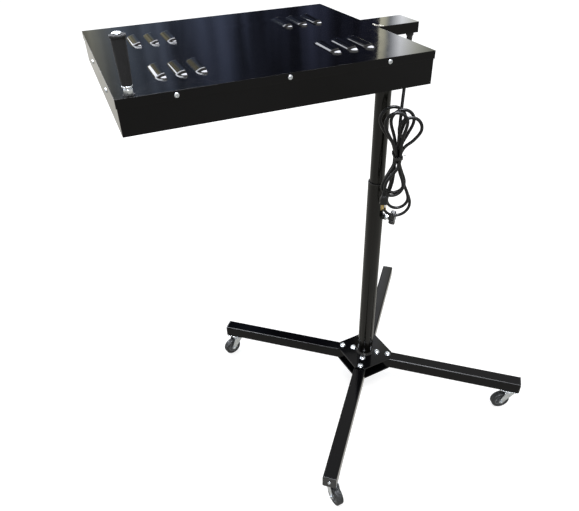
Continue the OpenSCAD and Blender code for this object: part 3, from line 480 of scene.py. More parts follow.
brass = rolledMetal("barePlugBrass", "#b39653", "#e0c98e", 0.25)
brightAluminium = rolledMetal("brightRolledAluminium", "#b8bcc1", "#dfe2e5", 0.2)
heaterWire = rolledMetal("resistanceWire", "#6e665c", "#8b8378", 0.45)
quartz = milkyQuartz()
leadCurve.materials.append(cordVinyl)
print("materials made")

# nodes carried over from CAD, with the width of the round that each one's edges get
carried = (
    (gloss, "gloss_enamel", {"top_cover": 0, "housing_pan": 0, "neck_channel": 0}),
    (satin, "black_enamel", {"outer_post": 0.4, "inner_post": 0.4, "swivel_socket": 0.4, "clamp_nut": 0}),
    (gloss, "black_enamel", {"hub_plate_top": 0.5, "hub_plate_bottom": 0.5,
                             **{"leg_" + name: 0.3 for name in legNames}}),
    (blackPolymer, "black_plastic", {"leg_end_caps": 0.3, "guide_sleeve": 0, "post_cap": 0,
                                     "switch_housing": 0}),
    (zinc, "bright_zinc", {"caster_plates": 0.3, "caster_kingpins": 0, "clamp_washer": 0.3, "clamp_stud": 0,
                           "neck_bolts": 0.3, "tube_brackets": 0, "guard_grille": 0}),
    (whiteNylon, "white_nylon", {"thrust_disc": 0}),
    (fibreBoard, "ceramic", {"insulation_board": 0.6}),
    (brightAluminium, "mirror_aluminium", {"reflector": 0}),
    (ceramic, "ceramic", {"heater_end_caps": 0.5, "terminal_block": 0.4}),
    (quartz, "quartz", {"heater_tubes": 0}),
    (redPolymer, "red_plastic", {"switch_rocker": 0.5}),
    (brass, "pin_brass", {"plug_pins": 0.25}),
)
copying = {"mergeAt": 2e-6, "flatWithin": 0.5, "sharp": 30}


def dress(node, material, bevel=0.0):
    # a merged copy of the solid, smoothed and with small real edge rounds
    bm = bmesh.new()
    bm.from_mesh(frame["nodes"][node].data)
    bmesh.ops.remove_doubles(bm, verts=bm.verts, dist=copying["mergeAt"])
    bmesh.ops.dissolve_limit(bm, angle_limit=math.radians(copying["flatWithin"]), verts=bm.verts,
                             edges=bm.edges)
    mesh = bpy.data.meshes.new(node + ".dressed")
    bm.to_mesh(mesh)
    bm.free()
    shadeSmooth(mesh, copying["sharp"])
    piece = registerPiece(mesh, node + ".dressed", material, bodyOfNode[node], (node,), bevel)
    piece.modifiers.new("flats", "WEIGHTED_NORMAL").keep_sharp = True


for material, slotName, edges in carried:
    for node, bevel in edges.items():
        dress(node, material, bevel)
print("carried nodes dressed")

# fasteners, placed by one Geometry Nodes tree; head rings are (share of radius, share of rise), and hexagon
# stages are (height, radius that the corners are cut back to), where 99 leaves them whole
fastener = {
    "screwHead": 9.5, "screwRise": 2.6, "screwShank": 4, "screwSides": 32, "screwChamfer": 0.3,
    "panelScrew": 6, "capScrew": 12,
    "headRings": ((1.0, 0.0), (1.0, 0.35), (0.93, 0.62), (0.8, 0.83), (0.66, 0.94), (0.52, 1.0)),
    "crossArm": 0.46, "crossWaist": 0.14, "crossTaper": 0.8, "crossFloor": 0.45,
    "flange": [(0, 0), (9, 0), (9, 1.0), (8.3, 1.6), (6, 2.0), (0, 2.0)],
    "boltHex": 14.5, "boltStages": ((1.5, 99), (5.0, 8.4), (5.8, 7.3), (6.3, 6.0), (6.5, 3.5)),
    "boltShank": 10, "boltLength": 50, "boltEnd": 8.2, "boltChamfer": 0.7, "boltSink": 0.5,
    "nutHex": 15.6, "nutHeight": 8, "nutTurn": 0.2,
}


def startTree(name, sockets, result):
    tree = bpy.data.node_groups.new(name, "GeometryNodeTree")
    for socket, kind in sockets.items():
        tree.interface.new_socket(socket, in_out="INPUT", socket_type="NodeSocket" + kind)
    tree.interface.new_socket(result, in_out="OUTPUT", socket_type="NodeSocketGeometry")
    return tree, addNode(tree, "NodeGroupInput")


def endTree(tree, given, instances, result):
    real = addNode(tree, "GeometryNodeRealizeInstances", {"Geometry": instances})
    painted = addNode(tree, "GeometryNodeSetMaterial", {"Geometry": real.outputs["Geometry"],
                                                        "Material": given.outputs["Finish"]})
    addNode(tree, "NodeGroupOutput", {result: painted.outputs["Geometry"]})
    return tree


def placerTree():
    tree, given = startTree("placeFasteners", {"Places": "Geometry", "Fastener": "Object",
                                               "Finish": "Material"}, "Fasteners")
    facing = addNode(tree, "GeometryNodeInputNamedAttribute", {"Name": "facing"}, data_type="FLOAT_VECTOR")
    spin = addNode(tree, "GeometryNodeInputNamedAttribute", {"Name": "spin"}, data_type="FLOAT")
    shape = addNode(tree, "GeometryNodeObjectInfo", {"Object": given.outputs["Fastener"]})
    aim = addNode(tree, "FunctionNodeAlignRotationToVector",
                  {"Vector": facing.outputs["Attribute"]}, axis="Z")
    turned = addNode(tree, "FunctionNodeAxisAngleToRotation",
                     {"Axis": (0, 0, 1), "Angle": spin.outputs["Attribute"]})
    both = addNode(tree, "FunctionNodeRotateRotation", {
        "Rotation": aim.outputs["Rotation"], "Rotate By": turned.outputs["Rotation"]}, rotation_space="LOCAL")
    put = addNode(tree, "GeometryNodeInstanceOnPoints", {
        "Points": given.outputs["Places"], "Instance": shape.outputs["Geometry"],
        "Rotation": both.outputs["Rotation"]})
    return endTree(tree, given, put.outputs["Instances"], "Fasteners")


placer = placerTree()


def bakeTree(holder, tree, values, name, body, stands, sharp=35):
    # runs a tree on the holder once and keeps only the mesh
    bpy.context.scene.collection.objects.link(holder)
    modifier = holder.modifiers.new("make", "NODES")
    modifier.node_group = tree
    sockets = {item.name: item.identifier for item in tree.interface.items_tree if item.in_out == "INPUT"}
    for key, value in values.items():
        modifier[sockets[key]] = value
    holder.update_tag()
    graph = bpy.context.evaluated_depsgraph_get()
    mesh = bpy.data.meshes.new_from_object(holder.evaluated_get(graph))
    bpy.data.objects.remove(holder)
    mesh.name = name
    shadeSmooth(mesh, sharp)
    return registerPiece(mesh, name, None, body, stands)


def scatter(name, spots, shape, body, stands):
    # spots: (point in mm, facing, spin in degrees)
    mesh = bpy.data.meshes.new(name + "Places")
    mesh.from_pydata([Vector(p) * mm for p, _, _ in spots], [], [])
    mesh.attributes.new("facing", "FLOAT_VECTOR", "POINT").data.foreach_set(
        "vector", [c for _, f, _ in spots for c in f])
    mesh.attributes.new("spin", "FLOAT", "POINT").data.foreach_set(
        "value", [math.radians(s) for _, _, s in spots])
    return bakeTree(bpy.data.objects.new(name + "Places", mesh), placer, {"Fastener": shape, "Finish": zinc},
                    name, body, stands)


def looseShape(bm, name):
    # a shape that only the tree uses, kept out of the scene
    return bpy.data.objects.new(name, closeMesh(bm, name))


def crossScrew(length):
    # pan head with a cross recess pressed in: the recess is part of the head's own rings
    headR, rise, sides = fastener["screwHead"] / 2, fastener["screwRise"], fastener["screwSides"]
    shank, chamfer, taper = fastener["screwShank"] / 2, fastener["screwChamfer"], fastener["crossTaper"]
    rings = [[(x, y, rise * z) for x, y in circle(headR * share, sides)]
             for share, z in fastener["headRings"]]
    arm, waist = (circle(headR * fastener[key], sides) for key in ("crossArm", "crossWaist"))
    quarter = sides // 4
    recess = [arm[k] if k % quarter in (quarter - 1, 0, 1) else waist[k] for k in range(sides)]
    rings.append([(x, y, rise) for x, y in recess])
    rings.append([(x * taper, y * taper, rise * fastener["crossFloor"]) for x, y in recess])
    bm = bmesh.new()
    made = [[bm.verts.new(p) for p in ring] for ring in rings]
    bridge(bm, made)
    bm.faces.new(made[-1])
    stem = [(0, -length), (shank - chamfer, -length), (shank, chamfer - length), (shank, 0), (headR, 0)]
    addLathe(bm, stem, place(), sides)
    bmesh.ops.remove_doubles(bm, verts=bm.verts, dist=1e-4)
    return looseShape(bm, "crossScrew")


def flangeBolt():
    shank, length, chamfer = fastener["boltShank"] / 2, fastener["boltLength"], fastener["boltChamfer"]
    sink, end = fastener["boltSink"], -length - fastener["boltEnd"]
    bm = bmesh.new()
    addLathe(bm, fastener["flange"], place(), 36)
    addHexagon(bm, fastener["boltHex"], fastener["boltStages"], place())
    addLathe(bm, [(0, sink), (shank, sink), (shank, end + chamfer), (shank - chamfer, end), (0, end)],
             place(), 24)
    addPrism(bm, polygonRing(6, fastener["nutHex"], fastener["nutTurn"]), fastener["nutHeight"],
             place(z=-length - fastener["nutHeight"]))
    return looseShape(bm, "flangeBolt")


head = {"x0": -684, "x1": -54, "width": 538, "top": 1220, "lipScrewDrop": 8, "bracketScrewZ": 1188,
        "longShare": (-0.335, 0, 0.335), "shortShare": (-0.2, 0.2), "sheet": 1.5, "longSpin": 279,
        "shortSpin": (20, 90)}
headSpan = head["x1"] - head["x0"]
screwSpots = []
for share in head["longShare"]:
    for side in (-1, 1):
        x = head["x0"] + headSpan / 2 + share * headSpan
        spot = (x, side * head["width"] / 2, head["top"] - head["lipScrewDrop"])
        screwSpots.append((spot, (0, side, 0), head["longSpin"] * share))
for share in head["shortShare"]:
    for x, side in ((head["x0"] + head["sheet"], -1), (head["x1"] - head["sheet"], 1)):
        spot = (x, share * head["width"], head["bracketScrewZ"])
        spin = head["shortSpin"][0] + head["shortSpin"][1] * share
        screwSpots.append((spot, (side, 0, 0), spin))
scatter("housingScrews", screwSpots, crossScrew(fastener["panelScrew"]), "head", ("housing_screws",))

legs = {"turns": (140, 230, 320, 50), "reach": 522, "bottom": 80, "tube": 40, "boltAt": (42, 80), "top": 125,
        "capSpin": (15, 40), "boltSpin": (17, 29)}
capSpots, boltSpots = [], []
for index, turn in enumerate(legs["turns"]):
    c, s = math.cos(math.radians(turn)), math.sin(math.radians(turn))
    capSpots.append(((legs["reach"] * c, legs["reach"] * s, legs["bottom"] + legs["tube"] / 2), (c, s, 0),
                     legs["capSpin"][0] + legs["capSpin"][1] * index))
    for k, r in enumerate(legs["boltAt"]):
        boltSpots.append(((r * c, r * s, legs["top"]), (0, 0, 1),
                          legs["boltSpin"][0] * index + legs["boltSpin"][1] * k))
scatter("endCapScrews", capSpots, crossScrew(fastener["capScrew"]), "base", ("end_cap_screws",))
scatter("hubBolts", boltSpots, flangeBolt(), "base", ("hub_bolts",))
print("fasteners placed:", len(screwSpots) + len(capSpots) + len(boltSpots))

# profiles are (radius, height): the raceway from the crown's top, the tyre's wall from the core's rim and its
# crest from the tread
caster = {
    "swivelR": 492, "trail": 24, "trailTurns": (195, 275, 165, 60), "axleZ": 30, "crownTop": 68.2,
    "sheet": 2.0, "gap": 25, "crownR": 18, "crownSides": 40, "crownSquare": 1.25, "back": -15.3,
    "backHalf": 6, "backDrop": 7, "frontDrop": 5, "cheekDrop": 1, "lobeR": 7.5, "lobeSteps": 14,
    "raceway": [(9, -0.4), (16.6, -0.4), (17.4, 0.1), (16.8, 0.1), (9, -0.1)],
    "wheelD": 60, "wheelW": 21, "shoulder": 4, "shoulderSteps": 6,
    "wall": [(0, -0.6), (0.6, 0), (2.6, 0), (3.0, -0.4), (3.4, 0)],
    "crest": [(0, 1.2), (-0.35, 0.6), (-0.35, -0.6), (0, -1.2)],
    "coreD": 40, "hubD": 16, "hubHalf": 12.2, "hubChamfer": 0.6, "web": 3, "bore": 6.12, "rimInset": 1.5,
    "rimThick": 3, "rimDraft": 0.5, "seat": 0.1, "ribs": 6, "ribHalf": 0.9, "ribStart": 0.5, "ribEnd": 2.7,
    "ribLow": 0.8, "ribSink": 0.1, "ribShort": 3.7,
}


def tangentAngle(point, centre, radius, side):
    dx, dy = point[0] - centre[0], point[1] - centre[1]
    return math.atan2(dy, dx) + side * math.acos(radius / math.hypot(dx, dy))


def makeFork(name, where):
    inner, sheet, top = caster["gap"] / 2, caster["sheet"], caster["crownTop"]
    back, crownR, steps = caster["back"], caster["crownR"], caster["lobeSteps"]
    centre = (caster["trail"], caster["axleZ"])
    backCorner, frontCorner = (back, top - caster["backDrop"]), (crownR, top - caster["frontDrop"])
    a0 = tangentAngle(backCorner, centre, caster["lobeR"], 1)
    a1 = tangentAngle(frontCorner, centre, caster["lobeR"], -1) + fullTurn
    while a0 > a1:
        a0 -= fullTurn
    arc = [(centre[0] + caster["lobeR"] * math.cos(a0 + (a1 - a0) * k / steps),
            centre[1] + caster["lobeR"] * math.sin(a0 + (a1 - a0) * k / steps)) for k in range(steps + 1)]
    cheekTop = top - caster["cheekDrop"]
    outline = [(back, cheekTop), backCorner] + arc + [frontCorner, (crownR, cheekTop)]
    bm = bmesh.new()
    upright = Matrix(((1, 0, 0, 0), (0, 0, -1, 0), (0, 1, 0, 0), (0, 0, 0, 1)))
    for y in (inner + sheet, -inner):
        addPrism(bm, outline, sheet, where @ Matrix.Translation((0, y, 0)) @ upright)
    crown = []
    for x, y in circle(crownR, caster["crownSides"]):
        flatY = max(-inner - sheet, min(inner + sheet, y * caster["crownSquare"]))
        crown.append((max(x, back) if abs(y) > caster["backHalf"] else x, flatY))
    addPrism(bm, crown, sheet, where @ Matrix.Translation((0, 0, top - sheet)))
    # rolled lip round the raceway, under the mounting plate
    addLathe(bm, shifted(caster["raceway"], 0, top), where, 48, True)
    finishPiece(bm, "fork" + name.capitalize(), zinc, "caster_" + name,
                ("caster_fork_" + name,), bevel=0.35)


def makeWheel(name, where):
    lying = (where @ Matrix.Translation((caster["trail"], 0, caster["axleZ"]))
             @ Matrix.Rotation(math.pi / 2, 4, "X"))
    radius, half, coreR = caster["wheelD"] / 2, caster["wheelW"] / 2, caster["coreD"] / 2
    bend, steps = caster["shoulder"], caster["shoulderSteps"]
    shoulder = [(radius - bend + bend * math.cos(a), half - bend + bend * math.sin(a))
                for a in (math.pi / 2 * k / steps for k in range(steps + 1))]
    crest = shifted(caster["crest"], radius, 0)
    side = shifted(caster["wall"], coreR, half) + shoulder[::-1]
    bm = bmesh.new()
    addLathe(bm, side + crest + [(r, -z) for r, z in side[::-1]], lying, 64, True)
    finishPiece(bm, "tyre" + name.capitalize(), tyreRubber, "wheel_" + name,
                ("wheel_tyre_" + name,), sharp=50)

    hub, bore, rim = caster["hubD"] / 2, caster["bore"] / 2, half - caster["rimInset"]
    long, cut, web = caster["hubHalf"], caster["hubChamfer"], caster["web"]
    inside = coreR - caster["rimThick"]
    below = [(bore, -long), (hub - cut, -long), (hub, cut - long), (hub, -web),
             (inside - caster["rimDraft"], -web), (inside, -rim), (coreR - caster["seat"], -rim)]
    bm = bmesh.new()
    addLathe(bm, below + [(r, -z) for r, z in below[::-1]], lying, 48, True)
    reach, thin, deep = coreR - caster["ribEnd"] - hub, caster["ribHalf"], rim - caster["ribShort"]
    for k in range(caster["ribs"]):
        for z in (-rim + caster["ribLow"], web - caster["ribSink"]):
            rib = (lying @ Matrix.Rotation(fullTurn / caster["ribs"] * k, 4, "Z")
                   @ Matrix.Translation((hub - caster["ribStart"], 0, z)))
            addPrism(bm, [(0, -thin), (reach, -thin), (reach, thin), (0, thin)], deep, rib)
    finishPiece(bm, "wheelCore" + name.capitalize(), greyPolymer, "wheel_" + name,
                ("wheel_core_" + name,), bevel=0.25)


for name, legTurn, trailTurn in zip(legNames, legs["turns"], caster["trailTurns"]):
    turn = math.radians(legTurn)
    where = place(caster["swivelR"] * math.cos(turn), caster["swivelR"] * math.sin(turn), 0, trailTurn)
    makeFork(name, where)
    makeWheel(name, where)
    dress("wheel_axle_" + name, zinc, 0.3)
print("casters made")

# the ring's and the cap's profiles are measured from their outer radius and their foot
handle = {"x": -657, "y": -254.5, "foot": 20, "footHeight": 1.5, "footEdge": (0.5, 1), "nutHex": 14.7,
          "nutHeight": 9, "nutTurn": 0.35, "lowerNutGap": 1.2, "gap": 3, "washer": 19, "washerHeight": 3,
          "washerRound": 0.5, "gripTop": 24.5, "gripFoot": 18.4, "gripBore": 5.1, "gripEdge": (1, 1.2),
          "gripSteps": 8, "swell": 0.85, "ring": 28, "ringHeight": 5.5, "cap": 16.5, "capHeight": 3.5,
          "crown": 2, "height": 102, "rod": 5, "rodChamfer": 0.6, "below": 13.2,
          "nutStages": ((0, 7.4), (0.6, 8.2), (1.1, 99), (7.9, 99), (8.4, 8.2), (9, 7.4)),
          "ringProfile": [(-1.4, 0), (-0.3, 1), (0, 2.4), (-0.6, 4), (-3, 5.2)],
          "capProfile": [(-0.5, 0), (0, 0.5), (0, 1.0), (-0.7, 1.9), (-2.0, 2.6), (-4.0, 3.2)]}
at = place(handle["x"], handle["y"], head["top"])
bore, footR, nutZ, nutTop = handle["gripBore"], handle["foot"] / 2, handle["footHeight"], handle["nutHeight"]
washerZ = nutZ + nutTop + handle["gap"]
gripZ = washerZ + handle["washerHeight"]
capZ = handle["height"] - handle["capHeight"]
ringZ = capZ - handle["ringHeight"]
gripR, ringR, capR, washerR = (handle[key] / 2 for key in ("gripFoot", "ring", "cap", "washer"))
edgeIn, edgeUp = handle["gripEdge"]
grip = [(bore, gripZ), (gripR - edgeIn, gripZ), (gripR, gripZ + edgeUp)]
for k in range(1, handle["gripSteps"] + 1):
    # the foam swells a little on its way up
    share = k / handle["gripSteps"]
    width = handle["gripFoot"] + (handle["gripTop"] - handle["gripFoot"]) * share ** handle["swell"]
    grip.append((width / 2, gripZ + edgeUp + (ringZ - gripZ - edgeUp) * share))
grip += shifted(handle["ringProfile"], ringR, ringZ)
grip.append((bore, grip[-1][1]))
footIn, footUp = handle["footEdge"]
bm = bmesh.new()
addLathe(bm, grip, at, 48, True)
addLathe(bm, [(bore, 0), (footR, 0), (footR, footUp), (footR - footIn, nutZ), (bore, nutZ)], at, 40, True)
finishPiece(bm, "foamGrip", foam, "head", ("handle_grip",))
rod, low, cut = handle["rod"], -handle["below"], handle["rodChamfer"]
bm = bmesh.new()
addLathe(bm, [(0, low), (rod - cut, low), (rod, low + cut), (rod, capZ)]
         + shifted(handle["capProfile"], capR, capZ)
         + [(handle["crown"], handle["height"]), (0, handle["height"])], at, 40)
finishPiece(bm, "handleRod", zinc, "head", ("handle_rod",))
bm = bmesh.new()
for lift in (nutZ, -handle["lowerNutGap"] - nutTop):
    addHexagon(bm, handle["nutHex"], handle["nutStages"], at, handle["nutTurn"], lift)
soft, washerTop = handle["washerRound"], washerZ + handle["washerHeight"]
addLathe(bm, [(bore, washerZ), (washerR - soft, washerZ), (washerR, washerZ + soft),
              (washerR, washerTop - soft), (washerR - soft, washerTop), (bore, washerTop)], at, 40, True)
finishPiece(bm, "handleNuts", zinc, "head", ("handle_nuts",))
print("handle made")

# the clamp knob; its stages are (share of radius, height) and lobed where the share is over lobedOver
knob = {"z": 680, "turn": -45, "start": 42.5, "outer": 22, "waist": 15.5, "lobes": 5, "lobedOver": 0.8,
        "sides": 100,
        "stages": ((0.42, 0), (0.45, 3.9), (0.9, 4.0), (0.97, 4.9), (1.0, 6.4), (1.0, 15.5), (0.985, 17.4),
                   (0.93, 18.6), (0.84, 19.0), (0.55, 19.0), (0.5, 18.4)),
        "face": [(0, 18.3), (9.2, 18.3), (9.2, 18.7), (8.6, 18.95), (0, 18.95)]}
at = place(0, 0, knob["z"], knob["turn"], 90) @ Matrix.Translation((0, 0, knob["start"]))
middle, swing = (knob["outer"] + knob["waist"]) / 2, (knob["outer"] - knob["waist"]) / 2
rings = [wavyRing(knob["sides"], middle, swing if share > knob["lobedOver"] else 0, knob["lobes"], share, z)
         for share, z in knob["stages"]]
bm = bmesh.new()
addLoft(bm, rings, at)
finishPiece(bm, "starKnob", blackPolymer, "clamp_screw", ("star_knob",), sharp=50)
bm = bmesh.new()
addLathe(bm, knob["face"], at, 40)
finishPiece(bm, "knobFace", facePolymer, "clamp_screw")
print("knob made")

gland = {"x": 44, "y": -29, "z": 1196, "nut": 18, "nutHeight": 8, "ribs": 18, "ribDepth": 0.5,
         "nutSides": 144, "nutStages": ((0.9, -8), (1.0, -7.2), (1.0, -0.8), (0.95, 0)),
         "reliefLength": 28, "reliefTop": 15, "reliefFoot": 11, "reliefRings": 8, "footRound": 1.2,
         "ringHalf": 0.9, "grooveHalf": 0.5, "groove": 0.7, "dish": 0.1, "body": 12.3, "bodyHeight": 7,
         "bodySink": 1, "lockHex": 15.5, "wall": 2.5, "lock": 4.5}
at = place(gland["x"], gland["y"], gland["z"])
rings = [wavyRing(gland["nutSides"], gland["nut"] / 2 - gland["ribDepth"], gland["ribDepth"], gland["ribs"],
                  share, z) for share, z in gland["nutStages"]]    # finger ribs round the cap nut
bm = bmesh.new()
addLoft(bm, rings, at)
foot, topR, groove = gland["reliefFoot"] / 2, gland["reliefTop"] / 2, gland["groove"]
wide, narrow, nutFoot = gland["ringHalf"], gland["grooveHalf"], -gland["nutHeight"]
footZ = nutFoot - gland["reliefLength"]
relief = [(0, footZ + gland["dish"]), (foot - gland["footRound"], footZ), (foot, footZ)]
for k in range(1, gland["reliefRings"]):
    # soft rings down the cone, with a groove between each pair
    z = footZ + gland["reliefLength"] * k / gland["reliefRings"]
    radius = foot + (topR - foot) * k / gland["reliefRings"]
    relief += [(radius, z - wide), (radius - groove, z - narrow), (radius - groove, z + narrow),
               (radius, z + wide)]
addLathe(bm, relief + [(topR, nutFoot), (0, nutFoot)], at, 36)
bodyR, bodyTop, bodyFoot = gland["body"] / 2, gland["bodyHeight"], -gland["bodySink"]
addLathe(bm, [(0, bodyFoot), (bodyR, bodyFoot), (bodyR, bodyTop), (0, bodyTop)], at, 32)
addPrism(bm, polygonRing(6, gland["lockHex"]), gland["lock"], at @ Matrix.Translation((0, 0, gland["wall"])))
finishPiece(bm, "cableGland", blackPolymer, "head", ("cable_gland",), sharp=40)

tie = {"width": 6.8, "chamfer": 0.3, "thick": 1.2, "gap": 1.2}
halfX = lead["column"] + lead["diameter"] / 2 + tie["gap"]
halfY = layerCount * lead["pitch"] / 2 + lead["diameter"] / 2 + tie["gap"]


def roundedOutline(x, y, radius, steps=6):
    corners = ((x - radius, y - radius, 0), (radius - x, y - radius, 90), (radius - x, radius - y, 180),
               (x - radius, radius - y, 270))
    return [(cx + radius * math.cos(math.radians(start + 90 * k / steps)),
             cy + radius * math.sin(math.radians(start + 90 * k / steps)))
            for cx, cy, start in corners for k in range(steps + 1)]


outer = roundedOutline(halfX + tie["thick"], halfY + tie["thick"], lead["diameter"] / 2 + tie["thick"])
inner = roundedOutline(halfX, halfY, lead["diameter"] / 2)
edgeZ = tie["width"] / 2
flatZ = edgeZ - tie["chamfer"]
bm = bmesh.new()
loops = [[bm.verts.new(hankPlace @ Vector((x, y, z))) for x, y in outline] for outline, z in (
    (inner, -edgeZ), (outer, -edgeZ), (outer, -flatZ), (outer, flatZ), (outer, edgeZ), (inner, edgeZ))]
bridge(bm, loops + loops[:1])
finishPiece(bm, "hankTie", blackPolymer, "head", ("lead_tie",), bevel=0.3)

# the bare ends of the wire inside the tie, twisted together
twist = {"length": 9, "radius": 0.75, "wire": 0.55, "turns": 2.5, "rise": 0.25, "clear": 0.4, "across": -0.3,
         "steps": 30}
bm = bmesh.new()
for start in (0, math.pi):
    path = []
    for k in range(twist["steps"] + 1):
        t = k / twist["steps"]
        angle = start + fullTurn * twist["turns"] * t
        path.append((halfX + tie["thick"] + twist["clear"] + twist["length"] * t,
                     halfY * twist["across"] + twist["radius"] * math.cos(angle),
                     twist["rise"] * twist["length"] * t + twist["radius"] * math.sin(angle)))
    addWire(bm, path, twist["wire"], hankPlace)
finishPiece(bm, "tieTwist", zinc, "head")

# a short white bead where the neck meets the cover: a painted highlight standing in for the glint on the
# cover's folded corner
highlightBead = {"points": [(-50, -11, 1220.2), (-47, -17, 1220.4), (-51.5, -22, 1220.3), (-47, -29, 1220.5),
                   (-40, -34, 1220.3), (-37, -40, 1220.1)], "radius": 0.9}
bm = bmesh.new()
addWire(bm, smoothed([Vector(p) for p in highlightBead["points"]], 5), highlightBead["radius"], place())
# the pale nylon colour is what gives this bead its painted highlight
finishPiece(bm, "jointSealant", whiteNylon, "head")

# the plug; its sections are (width, thickness, depth), round on the neck and squarer on the body, and the
# steps of a relief ring are (share of the groove's depth, distance down the neck)
plug = {"collar": [(9.4, 9.4, 0.0), (11.6, 11.6, 0.4)], "rings": 5, "ringStart": 1.5, "ringPitch": 2.6,
        "ringSize": 12, "ringGrowth": 0.55, "groove": 1.5,
        "ringSteps": [(0, 0), (0, 1.2), (1, 1.6), (1, 2.2)], "bodyStart": 15, "neckPower": 2.0,
        "bodyPower": 2.7, "sides": 48,
        "body": [(14.8, 14.6, 15), (18.5, 16.6, 19.5), (21.6, 17.7, 23), (22.8, 18, 26), (22.9, 18, 30),
                 (22, 17.4, 33), (22, 17.4, 35.5), (22.9, 18, 37.5), (22.9, 18, 39), (21.8, 17, 40)]}
at = hankPlace @ Matrix.Translation((lead["plugAcross"], tailY, -lead["plugDrop"]))


def plugRing(width, thick, z):
    power = plug["neckPower"] if z < plug["bodyStart"] else plug["bodyPower"]
    return [(width / 2 * math.copysign(abs(c) ** (2 / power), c),
             thick / 2 * math.copysign(abs(s) ** (2 / power), s), -z) for c, s in circle(1, plug["sides"])]


sections = list(plug["collar"])
for k in range(plug["rings"]):
    # bend relief: rings on the neck, each with a groove after it
    for share, step in plug["ringSteps"]:
        size = plug["ringSize"] + plug["ringGrowth"] * k - plug["groove"] * share
        sections.append((size, size, plug["ringStart"] + plug["ringPitch"] * k + step))
bm = bmesh.new()
addLoft(bm, [plugRing(*section) for section in sections + plug["body"]], at)
finishPiece(bm, "plugBody", plugVinyl, "head", ("plug_body",), sharp=50)
print("gland, tie and plug made")

# heating coils inside the quartz tubes
coil = {"turns": 110.0, "radius": 3.6, "wire": 0.5, "length": 536, "x": -369, "z": 1166.5, "count": 6,
        "field": 500}


def coilTree():
    tree, given = startTree("windCoils", {"Places": "Geometry", "Turns": "Float", "Radius": "Float",
                                          "Wire": "Float", "Length": "Float", "Finish": "Material"}, "Coils")
    wound = addNode(tree, "GeometryNodeCurveSpiral", {
        "Resolution": 10, "Rotations": given.outputs["Turns"], "Start Radius": given.outputs["Radius"],
        "End Radius": given.outputs["Radius"], "Height": given.outputs["Length"]})
    section = addNode(tree, "GeometryNodeCurvePrimitiveCircle", {
        "Resolution": 4, "Radius": given.outputs["Wire"]})
    wire = addNode(tree, "GeometryNodeCurveToMesh", {
        "Curve": wound.outputs["Curve"], "Profile Curve": section.outputs["Curve"], "Fill Caps": True})
    lying = addNode(tree, "GeometryNodeTransform", {
        "Geometry": wire.outputs["Mesh"], "Rotation": (0, math.pi / 2, 0)})
    put = addNode(tree, "GeometryNodeInstanceOnPoints", {
        "Points": given.outputs["Places"], "Instance": lying.outputs["Geometry"]})
    return endTree(tree, given, put.outputs["Instances"], "Coils")


mesh = bpy.data.meshes.new("coilPlaces")
mesh.from_pydata([((coil["x"] - coil["length"] / 2) * mm,
                   (k - (coil["count"] - 1) / 2) * coil["field"] / coil["count"] * mm, coil["z"] * mm)
                  for k in range(coil["count"])], [], [])
bakeTree(bpy.data.objects.new("coilPlaces", mesh), coilTree(),
         {"Turns": coil["turns"], "Radius": coil["radius"] * mm, "Wire": coil["wire"] * mm,
          "Length": coil["length"] * mm, "Finish": heaterWire}, "heatingCoils", "head", ())
print("heating coils wound")


def rayKinds(tree):
    # 1 for what the camera sees straight, reflected or refracted, and 1 for what is reflected
    paths = addNode(tree, "ShaderNodeLightPath").outputs
    seen = addNode(tree, "ShaderNodeMath", {0: paths["Is Camera Ray"], 1: paths["Is Glossy Ray"]},
                   operation="MAXIMUM")
    seenToo = addNode(tree, "ShaderNodeMath", {0: seen.outputs[0], 1: paths["Is Transmission Ray"]},
                      operation="MAXIMUM")
    return seenToo.outputs[0], paths["Is Glossy Ray"]


# the floor is pale to the eye, takes a soft shadow and is a little dimmer and patchy in reflections
floorLook = {"half": 40.0, "low": "#e6e6e6", "high": "#ebebeb", "cloud": 333.3, "shadowed": "#c4c4c4",
             "glow": 0.68, "patchLow": "#c2bfb4", "patchHigh": "#f4f3ee", "patch": 1818.2, "reflected": 0.95}


def floorPaint():
    # Pale matt floor paint, rolled on: even, with very soft clouds
    material, tree, coords = startMaterial("paleFloorPaint")
    anySeen, isReflected = rayKinds(tree)
    cloud, patch = (addNode(tree, "ShaderNodeTexNoise", {
        "Vector": coords, "Scale": perMetre(floorLook[key]), "Detail": 2.0}) for key in ("cloud", "patch"))
    tone = addNode(tree, "ShaderNodeMix", {
        0: cloud.outputs["Fac"], 6: fromHex(floorLook["low"]), 7: fromHex(floorLook["high"])},
        data_type="RGBA")
    patches = addNode(tree, "ShaderNodeMix", {
        0: patch.outputs["Fac"], 6: fromHex(floorLook["patchLow"]), 7: fromHex(floorLook["patchHigh"])},
        data_type="RGBA")
    plain = addNode(tree, "ShaderNodeBsdfDiffuse", {"Color": tone.outputs[2]})
    shadowed = addNode(tree, "ShaderNodeBsdfDiffuse", {"Color": fromHex(floorLook["shadowed"])})
    glow = addNode(tree, "ShaderNodeEmission", {"Color": fromHex("#ffffff"), "Strength": floorLook["glow"]})
    lit = addNode(tree, "ShaderNodeAddShader", {0: shadowed.outputs[0], 1: glow.outputs[0]})
    mirrored = addNode(tree, "ShaderNodeEmission", {
        "Color": patches.outputs[2], "Strength": floorLook["reflected"]})
    straight = addNode(tree, "ShaderNodeMixShader", {0: anySeen, 1: plain.outputs[0], 2: lit.outputs[0]})
    either = addNode(tree, "ShaderNodeMixShader", {
        0: isReflected, 1: straight.outputs[0], 2: mirrored.outputs[0]})
    return endMaterial(material, tree, either.outputs[0])


half = floorLook["half"]
floorMesh = bpy.data.meshes.new("floor")
floorMesh.from_pydata([(-half, -half, 0), (half, -half, 0), (half, half, 0), (-half, half, 0)], [],
                      [(0, 1, 2, 3)])
floorMesh.materials.append(floorPaint())
floor = addObject("floor", floorMesh)

